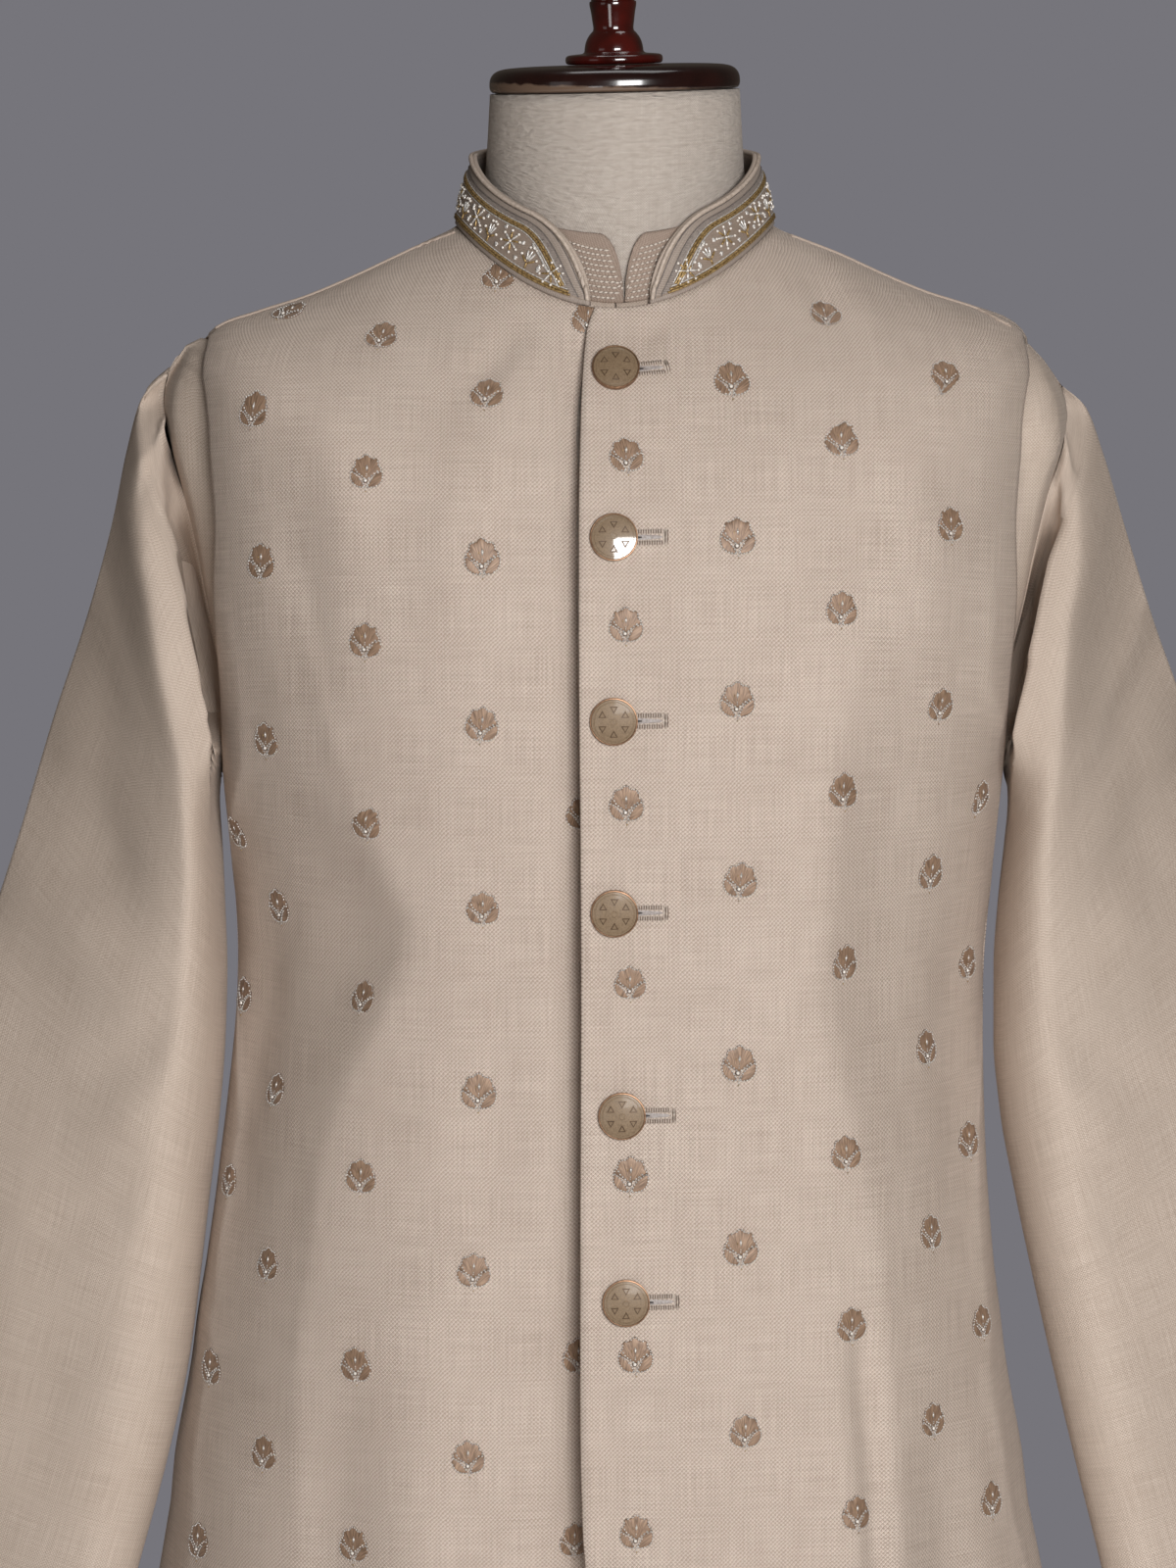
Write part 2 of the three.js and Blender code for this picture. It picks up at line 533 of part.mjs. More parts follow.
// ---- Buttons -------------------------------------------------------------
function buttonGeometry() {
  const edge = BUTTON_EDGE;
  const profile = [
    [0, 0], [BUTTON_RADIUS - edge, 0], [BUTTON_RADIUS, edge],
    [BUTTON_RADIUS, BUTTON_THICK - edge], [BUTTON_RADIUS - edge, BUTTON_THICK],
    [BUTTON_RADIUS - 2 * edge, BUTTON_THICK - edge / 2], [0, BUTTON_THICK - edge / 2],
  ];
  return lathe(profile, SMALL_SEGMENTS);
}

// Sets a button on the face of a front, at the height z and x to the side of the middle
function seatButton(mesh, front, x, z) {
  const ray = new THREE.Raycaster(new THREE.Vector3(x, -BASE_RADIUS, z), new THREE.Vector3(0, 1, 0));
  const [hit] = ray.intersectObject(front);
  mesh.position.copy(hit.point).addScaledVector(hit.face.normal, BUTTON_STAND);
  mesh.quaternion.setFromUnitVectors(new THREE.Vector3(0, 0, 1), hit.face.normal);
}

// ---- Dress form ----------------------------------------------------------
function lathe(profile, segments = ROUND_SEGMENTS) {
  const points = profile.map(([r, z]) => new THREE.Vector2(r, z));
  const geometry = new THREE.LatheGeometry(points, segments);
  geometry.rotateX(Math.PI / 2);
  return geometry;
}

function formBody() {
  const rows = [FORM_FOOT, 5, 6, 7, 8, 9, 10, 11, 12, 12.75, ...TIP_ROWS, ...SHOULDER_ROWS,
    KURTA_NECKLINE, 22, 22.6, 23.3, 24, FORM_TOP];
  const count = BODY_ANGLES.length - 1;
  const positions = [];
  for (const v of rows) {
    for (let j = 0; j < count; j += 1) positions.push(...onForm(BODY_ANGLES[j], v));
  }
  const faces = [];
  const at = (i, j) => i * count + (j % count);
  for (let i = 0; i < rows.length - 1; i += 1) {
    for (let j = 0; j < count; j += 1) {
      faces.push(at(i, j), at(i, j + 1), at(i + 1, j + 1));
      faces.push(at(i, j), at(i + 1, j + 1), at(i + 1, j));
    }
  }
  const bottom = positions.length / 3;
  positions.push(0, 0, section(FORM_FOOT).side);
  const top = bottom + 1;
  positions.push(0, 0, section(FORM_TOP).side);
  for (let j = 0; j < count; j += 1) {
    faces.push(bottom, at(0, j + 1), at(0, j));
    faces.push(top, at(rows.length - 1, j), at(rows.length - 1, j + 1));
  }
  return facingOut(positions, faces);
}

const CAP_PROFILE = [
  [0, 0], [60.5, 0], [62.4, 2], [63, 5], [62.4, 8.4], [60, 10.8], [55, 12.2], [40, 13], [0, 13],
];
const FINIAL_PROFILE = [
  [0, 0], [23.4, 0], [24.4, 1], [24.4, 3.6], [23.2, 4.8], [15, 5.2], [14.6, 8], [13.9, 11],
  [12.4, 14], [10.2, 16.6], [10.1, 18], [11, 25], [11.8, 31], [10.9, 31.6], [10.9, 32.4],
  [12, 33.2], [12.4, 36], [11.8, 39], [8.6, 42], [8.4, 44], [12.6, 50], [13.6, 56],
  [12.2, 62], [8, 67], [3, 69.4], [0, 70],
];
const BASE_PROFILE = [
  [0, 0], [BASE_RADIUS - 2, 0], [BASE_RADIUS, 2], [BASE_RADIUS, 9], [BASE_RADIUS - 5, 15],
  [BASE_RADIUS - 18, 18], [80, 21], [46, BASE_HEIGHT], [0, BASE_HEIGHT],
];

function poleProfile() {
  const top = section(FORM_FOOT).side - SEAM;
  const foot = BASE_HEIGHT + SEAM;
  return [
    [0, foot], [POLE_FLANGE, foot], [POLE_FLANGE, foot + 5], [26, foot + 12], [21, foot + 26],
    [POLE_RADIUS, foot + 44], [POLE_RADIUS, top - 16], [POLE_FLANGE, top - 8], [POLE_FLANGE, top],
    [0, top],
  ];
}

// ---- The set -------------------------------------------------------------
const set = new THREE.Group();

function add(name, geometry, color, roughness, metalness = 0, parent = set) {
  const material = new THREE.MeshStandardMaterial({ color, roughness, metalness });
  const mesh = new THREE.Mesh(geometry, material);
  mesh.name = name;
  parent.add(mesh);
  return mesh;
}

add('form_body', formBody(), LINEN, 0.85);
const capGroup = new THREE.Group();
capGroup.position.z = section(FORM_TOP).side + SEAM;
capGroup.rotation.y = -degrees(CAP_TILT);
set.add(capGroup);
add('form_cap', lathe(CAP_PROFILE), MAHOGANY, 0.2, 0, capGroup);
const finial = add('form_finial', lathe(FINIAL_PROFILE, SMALL_SEGMENTS), MAHOGANY, 0.2, 0, capGroup);
finial.position.z = CAP_PROFILE.at(-1)[1] + SEAM;
add('stand_pole', lathe(poleProfile(), SMALL_SEGMENTS), MAHOGANY, 0.3);
add('stand_base', lathe(BASE_PROFILE), MAHOGANY, 0.3);

add('kurta_front', kurtaFront(), SAND, 0.8);
add('kurta_back', kurtaBack(), SAND, 0.8);
add('kurta_sleeve_left', sleeve(1), SAND, 0.8);
add('kurta_sleeve_right', sleeve(-1), SAND, 0.8);
add('kurta_collar', collar(KURTA_COLLAR, KURTA_NECKLINE, kurtaStand), SAND, 0.8);

const overFront = add('waistcoat_front_left', coatFront(true), SAND, 0.75);
add('waistcoat_front_right', coatFront(false), SAND, 0.75);
add('waistcoat_back', coatBack(), SAND, 0.75);
add('waistcoat_collar', collar(COAT_COLLAR, NECKLINE, coatStand), SAND, 0.75);

BUTTON_ROWS.forEach((row, i) => {
  const { x, z } = named(BUTTON_COLUMNS, row);
  seatButton(add(`button_${i + 1}`, buttonGeometry(), OLD_GOLD, 0.35, 0.8), overFront, x, z);
});

export default set;
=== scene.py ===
"""Bandhgala waistcoat set: a long sleeveless waistcoat over a kurta, on a limbless dress form."""

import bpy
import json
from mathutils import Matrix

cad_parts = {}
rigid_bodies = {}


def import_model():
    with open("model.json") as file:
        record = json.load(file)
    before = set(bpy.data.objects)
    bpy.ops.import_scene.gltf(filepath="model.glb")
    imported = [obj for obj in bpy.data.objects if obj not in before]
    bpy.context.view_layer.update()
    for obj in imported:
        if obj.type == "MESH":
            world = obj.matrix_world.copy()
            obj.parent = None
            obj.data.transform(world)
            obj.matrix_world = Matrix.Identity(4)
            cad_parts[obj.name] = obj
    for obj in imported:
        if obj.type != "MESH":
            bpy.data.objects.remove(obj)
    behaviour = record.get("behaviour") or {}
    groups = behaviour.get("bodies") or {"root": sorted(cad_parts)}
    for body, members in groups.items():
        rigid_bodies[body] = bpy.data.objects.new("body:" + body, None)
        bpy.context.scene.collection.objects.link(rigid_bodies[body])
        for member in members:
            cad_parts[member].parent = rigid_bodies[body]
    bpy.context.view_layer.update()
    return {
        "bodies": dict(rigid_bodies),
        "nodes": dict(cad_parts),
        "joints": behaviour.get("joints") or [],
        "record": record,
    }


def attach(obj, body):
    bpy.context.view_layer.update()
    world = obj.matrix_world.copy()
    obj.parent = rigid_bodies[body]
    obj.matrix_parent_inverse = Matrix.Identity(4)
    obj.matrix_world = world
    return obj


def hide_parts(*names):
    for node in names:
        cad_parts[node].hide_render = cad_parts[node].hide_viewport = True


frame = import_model()

import copy
import json
import math
from functools import lru_cache, partial

import bpy
import numpy as np
from mathutils import Matrix, Vector

bl_info = {
    "name": "Bandhgala Waistcoat Set",
    "version": (1, 0, 0),
    "blender": (4, 5, 0),
    "location": "3D View > Sidebar > Waistcoat",
    "description": "Builds an embroidered waistcoat and kurta on a dress form",
    "category": "Add Mesh",
}

MM = 0.001
SEED = 11

# ---- Body surface: numbered sections that every layer of cloth stands off ----
# Heights in front, at the side and behind, half-widths, half-depths, how square the section is,
# how far each garment stands off, and how far the set leans to its own right, in mm
SECTION_COLUMNS = (
    "front", "side", "back", "half", "chest", "spine", "square",
    "kurta_front", "kurta_side", "kurta_cap", "coat_front", "coat_side", "lean",
)
SECTION_ROWS = np.array([
    [440, 440, 440, 184, 108, 112, 2.3, 36, 62, 0, 46, 72, 4],
    [556, 556, 556, 184, 108, 112, 2.3, 30, 48, 0, 38, 57, 5],
    [672, 672, 672, 184, 108, 112, 2.3, 22, 35, 0, 30, 46, 6],
    [746, 746, 746, 183, 109, 113, 2.3, 17, 28, 0, 26, 38, 7],
    [800, 800, 800, 182, 110, 114, 2.3, 14, 23, 0, 24, 33, 8],
    [860, 860, 860, 179, 110, 115, 2.3, 12, 18, 0, 22, 28, 8],
    [946, 946, 946, 170, 107, 108, 2.3, 11, 17, 0, 21, 27.5, 6],
    [1046, 1046, 1046, 162, 104, 97, 2.3, 11, 17, 0, 21, 29, 2],
    [1105, 1105, 1105, 168, 108, 101, 2.3, 9, 15, 0, 19, 26, 1],
    [1146, 1150, 1148, 176, 112, 107, 2.35, 7, 12, 0, 17, 22, 1],
    [1185, 1205, 1190, 187, 116, 112, 2.4, 5, 9, 2, 14, 16, 0],
    [1222, 1255, 1232, 197, 118, 115, 2.4, 4.2, 7, 6, 12.5, 12, 0],
    [1256, 1300, 1272, 201, 116, 116, 2.35, 4.2, 5.4, 14, 12, 9.5, 0],
    [1286, 1337, 1308, 204, 111, 114, 2.3, 5, 5, 21, 11.5, 9.5, 0],
    [1310, 1362, 1337, 204, 105, 110, 2.3, 4.6, 3.8, 9, 10.5, 8.5, 0],
    [1328, 1375.5, 1361, 197, 99, 105, 2.25, 2.8, 1.8, 0, 9, 6, 0],
    [1344, 1384, 1379, 178, 93, 99, 2.2, 2.2, 1.8, 0, 7.5, 4, 0],
    [1357, 1392, 1393, 154, 87, 93, 2.15, 2, 1.8, 0, 6.6, 3.6, 0],
    [1369, 1402, 1405, 130, 81, 87, 2.1, 1.9, 1.8, 0, 5.6, 3.6, 0],
    [1379, 1412.5, 1417, 108, 76, 81, 2.05, 1.8, 1.8, 0, 4.6, 3.6, 0],
    [1386, 1421, 1426, 92, 73, 77, 2, 1.8, 1.8, 0, 4, 3.6, 0],
    [1392, 1429, 1433, 77.5, 70.5, 73, 2, 1.8, 1.8, 0, 3.6, 3.6, 0],
    [1400, 1438, 1442, 69.5, 67.5, 69, 2, 1.8, 1.8, 0, 3.6, 3.6, 0],
    [1424, 1450, 1454, 66, 65.5, 66, 2, 1.8, 1.8, 0, 3.6, 3.6, 0],
    [1462, 1468, 1470, 64.5, 64.5, 64.5, 2, 1.8, 1.8, 0, 3.6, 3.6, 0],
    [1499, 1499, 1499, 62.8, 62.8, 62.8, 2, 1.8, 1.8, 0, 3.6, 3.6, 0],
])
# Sections at which each layer starts and ends
KURTA_HEM, COAT_HEM, FORM_FOOT, FORM_TOP = 0, 2, 4, 25
NECKLINE, KURTA_NECKLINE = 21, 21.5
CAP_TILT = 1.4              # degrees
SHOULDER_LIFT = (1.6, 2.6)  # how far the padded shoulders stand up, and more on the left

# Armhole edges: section, then the angle of the front and of the back edge
COAT_ARMHOLE = np.array([
    [9, 90, 90], [9.35, 82, 98], [10, 75, 104.5], [11, 70, 108], [12, 68, 109], [13, 68.5, 108],
    [13.5, 70, 106], [14.1, 73.5, 101.5], [14.5, 77, 96], [14.8, 84, 84],
])
KURTA_ARMHOLE = np.array([
    [9.4, 90, 90], [9.8, 84.5, 95.5], [10.4, 80.5, 99.5], [11, 79, 101.5], [11.6, 78.5, 102],
    [12.2, 78.5, 101.5], [12.75, 79.5, 99.5], [13.2, 81.5, 96], [13.5, 84, 84],
])
# Front edges of the waistcoat: section, then where the over and the under edge lie, in mm
COAT_LAP = np.array([
    [2, 22, 10], [2.25, 0, 22], [2.6, -9, 25], [3, -12, 26], [4, -17, 26], [5, -18, 24],
    [9, -18, 20], [13, -18, 17], [16, -16.5, 16], [19, -14, 15], [21, -10, 14],
])
# How far the over front stands up and the under front dips, from how far past the middle, over
# what run, and the room that the dip leaves over the kurta
LAP_LIFT, LAP_DIP, LAP_START, LAP_RUN, LAP_ROOM = 2, 4, 18, 62, 0.6
UNDER_SHARE = 0.5           # how far the cloth underneath follows the waistcoat's waist
COAT_STEP, KURTA_STEP, SLEEVE_STEP = 4.4, 6.4, 3.6  # size of a cloth's grid cells, in mm
KURTA_CROWD, SLIT_CROWD = 0.4, 0.35 # how far the cells crowd to the kurta's edges
SEAM, REST, CLOTH = 0.3, 0.4, 1.4   # room in a seam and under a layer, and a cloth's thickness
EDGE_ROUND = 0.4                    # how far a cut edge rounds out, as a share of its thickness
BRAID_STEP = 0.9                    # between the rings of a braid or a cord, in mm
# Side vents: section of the top, gap at the hem, how far the front flares and from what angle
COAT_VENT_TOP, COAT_VENT_GAP, COAT_VENT_FLARE, COAT_FLARE_START = 3.5, 5, 7, 50
KURTA_VENT_TOP, KURTA_VENT_GAP = 2, 12
SLIT_FOOT, SLIT_GAP = 13, 1.2       # the kurta's front slit: lowest section, and how far it gapes

# Sleeves: upper and outer edge, the same on the wearer's right, its height, then the lower
# and inner edge in the same way, the half-depth, and how far ahead the section's middle lies
SLEEVE_ROWS = np.array([
    [222, 222, 1360, 192, 192, 1168, 40, 4], [235, 235, 1348, 199, 199, 1154, 47, 3],
    [247.5, 246, 1318, 201, 201, 1137, 52, 2], [261, 256.5, 1277, 199, 200, 1114, 55, 2],
    [277, 271, 1229, 196, 199, 1086, 56, 3], [295, 288, 1180, 194, 198, 1054, 54, 5],
    [310, 304, 1127, 194, 199, 1018, 50, 8], [325, 320.5, 1072, 197.5, 202, 980, 45, 11],
    [339, 334, 1016, 205, 207, 940, 40, 14], [353, 348, 958, 214, 212, 898, 35, 17],
    [367, 362, 900, 224, 218, 854, 30, 20], [380, 375, 845, 236, 229, 804, 27, 22],
    [393, 388, 792, 249, 243, 752, 25, 24], [405, 400, 741, 261, 257, 702, 24, 26],
])
SLEEVE_BLEND = 4            # rows over which the armhole's loop turns into the oval
SLEEVE_TOP = 1357           # height of the sleeve's head on the flat cloth
# How the kurta turns back past the waistcoat's armhole: turn on each side, the most that it goes
# back, where it starts inside the edge and how softly, then the heights and the depth over
# which the turn comes and goes
STRIP_TURN, STRIP_MOST, STRIP_SHOWS, STRIP_SOFT = {-1: 60, 1: 25}, 26, 1, 3
STRIP_RISE, STRIP_FALL, STRIP_AHEAD = (1150, 1200), (1362, 1392), (0, 25)
# How far each sleeve's head stands up, and where, across and up
HEAD_LIFT = {-1: 9, 1: 2}
HEAD_RISE, HEAD_FALL, HEAD_UP = (204, 216), (230, 241), (1300, 1345)
# The fold beside the armhole: how far it leans over its hollow, its width, the hollow's depth
# from which it leans fully, and the heights from which the hollow opens
FOLD_LEAN, FOLD_WIDTH, FOLD_FULL, HOLLOW_RISE = 5, 7, 40, (1150, 1195)
FACET_DROP = 5              # how far the front plane falls back from the ridge to the fold
RIDGE_SOFT, RIDGE_RISE = (12, 3), (1050, 1170)  # roundness of the ridge, low down and high up
PLANES_END = (1338, 1362)   # heights over which the planes pass into the sleeve's head
OUTLINE_ROWS = 75           # rows over which the sleeve's outer edge is smoothed
# The sleeves hang empty, so each front falls in planes: height, ridge of the two main planes,
# how far ahead it lies, the outer plane's turn in degrees, then where the cloth folds in
# beside the armhole and how deep the hollow behind that fold is
SLEEVE_PLANES = {
    "kurta_sleeve_right": np.array([
        [640, 300, 44, 20, 288, 0], [800, 268, 46, 22, 256, 0], [872, 256, 50, 23, 244, 0],
        [920, 248, 51, 24, 236, 0], [969, 238, 53, 25, 226, 0], [1018, 227, 55, 27, 214, 0],
        [1066, 220, 57, 32, 208, 0], [1110, 217, 58, 43, 205, 0],
        [1164, 219, 58, 51, 205, 20], [1186, 223, 57, 56, 208, 56], [1212, 228.7, 55, 61, 213, 74],
        [1226, 231, 53, 63, 216, 76], [1246, 234, 47, 65, 219.5, 70], [1267, 238, 40, 66, 223, 48],
        [1285, 239, 34, 67, 226.5, 20], [1312, 234.5, 24, 67, 228, 0], [1345, 224, 15, 64, 221, 0],
    ]),
    "kurta_sleeve_left": np.array([
        [640, 300, 44, 24, 288, 0], [800, 270, 46, 25, 258, 0], [872, 256, 50, 26, 244, 0],
        [920, 246, 51, 27, 234, 0], [969, 236, 53, 28, 224, 0], [1018, 226, 55, 30, 212, 0],
        [1066, 221, 57, 34, 206, 0], [1110, 219, 58, 44, 202, 0],
        [1164, 223, 58, 53, 202, 20], [1186, 224.4, 57, 58, 204.7, 56],
        [1201, 225, 56, 60, 207.9, 68], [1221, 226.4, 54, 61, 211.9, 70],
        [1239, 228.3, 49, 63, 215, 66], [1256, 232.3, 44, 63, 219, 52],
        [1271, 233.7, 39, 62, 222.9, 34], [1286, 233.4, 34, 61, 225.5, 14],
        [1311, 229.8, 24, 59, 224.5, 0], [1345, 224, 14, 56, 220, 0],
    ]),
}
ARMHOLE_STEPS = 8           # armhole stations from the shoulder tip to the underarm

# Relief beside the collar's edge: distance from the edge, half-width and height
COLLAR_RELIEF = ((1.1, 0.9, 0.5), (2.7, 0.4, -0.4), (4.2, 1.1, 0.25), (5.8, 0.4, -0.35))
# Colours of the collar's lighter and darker thread, from each distance on, in mm
COLLAR_COLOURS = (
    ((0, (192, 176, 162)), (2.7, (174, 159, 147)), (5.8, (158, 146, 137)), (9, (162, 145, 131)),
     (50, (168, 154, 143))),
    ((0, (150, 134, 121)), (2.7, (126, 113, 103)), (5.8, (112, 101, 94)), (9, (118, 102, 89)),
     (50, (128, 115, 106))),
)
COLLAR_FOLD, COLLAR_FOLD_CODE = 2.2, 60.0   # the plain fold along the foot, and its own code
COLLAR_GRID, COLLAR_CROWD = (25, 201), 0.06 # rows and columns, and how they crowd to the ends
KURTA_STITCH_ROW = 2.6      # between the rows of stitching on the kurta's collar, in mm
# Each collar's ends from the middle, the round of its corners, thickness, how proud its foot
# is, its section, and its top edge: half-width, half-depths and heights, all in mm
COAT_COLLAR = dict(
    right=-11.5, left=15.5, round=34, thick=2.4, proud=1.2, neckline=NECKLINE,
    half=71, chest=70.5, spine=72, front=1433, side=1467, back=1472, bulge=1.2,
)
KURTA_COLLAR = dict(
    right=3.4, left=4.8, round=12, thick=1.8, proud=0.4, neckline=KURTA_NECKLINE,
    half=68.4, chest=68, spine=68.6, front=1429, side=1454, back=1460, bulge=0.3,
)
COLLAR_LIFT, COLLAR_END = 0.6, 0.6  # how far the collars are raised, and how blunt their ends are

# Middle of each button, across and up
BUTTON_ROWS = ((0, 1365), (-1, 1285), (-1, 1196), (-0.6, 1101), (3.2, 1000), (5.2, 907))
BUTTON_STAND = 0.6          # from the cloth to a button's back
BUTTON_RADIUS, BUTTON_HEIGHT, BUTTON_RIM, BUTTON_DOME = 11.7, 2.4, 0.6, 1.2
BRIGHT_BUTTONS = 2          # the top two are still bright, and the others have dulled
# A button's face, drawn in from the edge: how far in, and how far down or up, in mm
FACE_INSETS = (
    (BUTTON_RIM, 0), (BUTTON_RIM / 4, -0.4), (0.9, 0), (0.16, -0.16), (0.3, 0), (0.16, 0.16),
    *((1.54, 0),) * 5, (0.14, -0.14), (0.24, 0), (0.14, 0.14),
)
# Six petals round the middle, each on a dark ground: radius of each, and its top's height
PETALS, PETAL_RING, PETAL_PRISMS = 6, 0.55 * BUTTON_RADIUS, ((2.5, -0.28), (1.5, -0.08))
PETAL_GROUND = (-0.36, -0.2)        # heights that belong to the dark ground


# ---- Numbers ----
def smooth(x, low, high):
    """Nought below low, one above high, and a soft step between them."""
    f = np.clip((np.asarray(x, float) - low) / (high - low), 0, 1)
    return f * f * (3 - 2 * f)


def swell(x, rise, fall):
    """Nought, up to one over the rise, and back to nought over the fall."""
    return smooth(x, *rise) * (1 - smooth(x, *fall))


def hermite(xs, ys, x):
    """Smooth curve through the rows of a table, which never overshoots them."""
    step = np.diff(ys, axis=0) / np.diff(xs)[:, None]
    before, after = np.concatenate([step[:1], step]), np.concatenate([step, step[-1:]])
    together = before * after > 0
    slope = np.where(together, 2 * before * after / np.where(together, before + after, 1), 0)
    x = np.clip(np.asarray(x, float), xs[0], xs[-1])
    i = np.clip(np.searchsorted(xs, x, side="right") - 1, 0, len(xs) - 2)
    width = (xs[i + 1] - xs[i])[..., None]
    f = (x - xs[i])[..., None] / width
    rise, m1, m2 = ys[i + 1] - ys[i], slope[i] * width, slope[i + 1] * width
    return ys[i] + f * (m1 + f * (3 * rise - 2 * m1 - m2 + f * (m1 + m2 - 2 * rise)))


def columns_at(table, x):
    """Every column of a table but the first, at places x of the first."""
    return np.moveaxis(hermite(table[:, 0], table[:, 1:], x), -1, 0)


def past(x, soft):
    """How far x is past nought, with a round start that is about soft long."""
    return soft * np.logaddexp(0, x / soft)


def unit(vectors):
    return vectors / np.maximum(np.linalg.norm(vectors, axis=-1, keepdims=True), 1e-12)


def run_along(points):
    """Distance travelled along the last rows of points, starting from nought."""
    steps = np.linalg.norm(np.diff(points, axis=-2), axis=-1)
    return np.concatenate([np.zeros(steps.shape[:-1] + (1,)), np.cumsum(steps, -1)], -1)


def places_along(line, at):
    """Points at distances along a line of points."""
    run = run_along(line)
    return np.stack([np.interp(at, run, c) for c in line.T], -1)


def section(v):
    """Every column of the body surface's table at the section numbers v."""
    values = hermite(np.arange(len(SECTION_ROWS)), SECTION_ROWS, v)
    return dict(zip(SECTION_COLUMNS, np.moveaxis(values, -1, 0)))


# ---- Layers of cloth on the body surface ----
def on_form(t, v):
    """Point of the body surface at t degrees from the front centre, on section v."""
    t, v = np.broadcast_arrays(np.asarray(t, float), np.asarray(v, float))
    ring = section(v)
    s, c = np.sin(np.radians(t)), np.cos(np.radians(t))
    n = ring["square"]
    k = (np.abs(s) ** n + np.abs(c) ** n) ** (-1 / n)
    depth = np.where(c > 0, ring["chest"], ring["spine"])
    rise = (np.where(c > 0, ring["front"], ring["back"]) - ring["side"]) * (k * c) ** 2
    x = ring["half"] * s * k
    askew = x * math.tan(math.radians(CAP_TILT)) * smooth(v, FORM_TOP - 2, FORM_TOP)
    return np.stack([x, -depth * c * k, ring["side"] + rise + askew], -1)


def outward(t, v):
    """Direction that points out of the body surface."""
    top = np.clip(np.asarray(v, float) + 0.05, 0.1, FORM_TOP)
    around = on_form(np.asarray(t) + 0.5, v) - on_form(np.asarray(t) - 0.5, v)
    return unit(np.cross(around, on_form(t, top) - on_form(t, top - 0.1)))


def layer(t, v, stand):
    """Points that stand off the body surface."""
    points = on_form(t, v) + outward(t, v) * np.asarray(stand)[..., None]
    points[..., 0] -= section(v)["lean"]
    return points


def kurta_stand(t, v):
    """How far the kurta stands off, and further where it runs over the sleeve's head."""
    ring = section(v)
    around = np.abs(np.where(t > 180, t - 360, t))
    front, back = columns_at(COAT_ARMHOLE, v)
    cap = ring["kurta_cap"] * smooth(np.minimum(around - front, back - around), -1, 4)
    turn = np.sin(np.radians(t)) ** 2
    return ring["kurta_front"] * (1 - turn) + ring["kurta_side"] * turn + cap


def coat_stand(t, v):
    """How far the waistcoat stands off, with its padded shoulders."""
    ring = section(v)
    turn = np.sin(np.radians(t)) ** 2
    lifted = SHOULDER_LIFT[0] + SHOULDER_LIFT[1] * smooth(np.sin(np.radians(t)), -0.3, 0.5)
    lifted = lifted * smooth(v, 13, 16) * (1 - smooth(v, 18.5, 21))
    return ring["coat_front"] * (1 - turn) + (ring["coat_side"] + lifted) * turn


def front_stand(t, v, over):
    """The waistcoat's front stands proud where it laps over, and dips where it laps under."""
    ring = section(v)
    side = 1 if over else -1
    lap = 1 - smooth(side * ring["half"] * np.sin(np.radians(t)), LAP_START, LAP_START + LAP_RUN)
    room = ring["coat_front"] - ring["kurta_front"] - CLOTH - REST
    dip = np.clip(room - LAP_ROOM, 0, LAP_DIP)
    vent = np.clip((COAT_VENT_TOP - v) / (COAT_VENT_TOP - COAT_HEM), 0, None)
    flare = COAT_VENT_FLARE * vent * smooth(np.abs(t), COAT_FLARE_START, 90)
    return coat_stand(t, v) + lap * (LAP_LIFT if over else -dip) + flare


def side_angle(gap, v):
    """Angle that a gap at the side takes up."""
    ring = section(v)
    return np.degrees(gap / (ring["chest"] + ring["coat_front"]))


def side_edges(v, table, gap, top, hem):
    """Angles of a panel's side, armhole and shoulder edges, in front and behind."""
    opened = gap * np.clip((top - v) / (top - hem), 0, None)
    back = side_angle((SEAM + opened) / 2, v)
    front_edge, back_edge = columns_at(table, v)
    return front_edge - back, back_edge + back


# ---- Surfaces ----
def grid_normals(points, guide, tube=False):
    """Normals over a grid of points, on the side that the guide points to."""
    if tube:
        around = np.roll(points, -1, 1) - np.roll(points, 1, 1)
    else:
        around = np.gradient(points, axis=1)
    normals = unit(np.cross(around, np.gradient(points, axis=0)))
    return normals * (1 if np.sum(normals * guide) > 0 else -1)


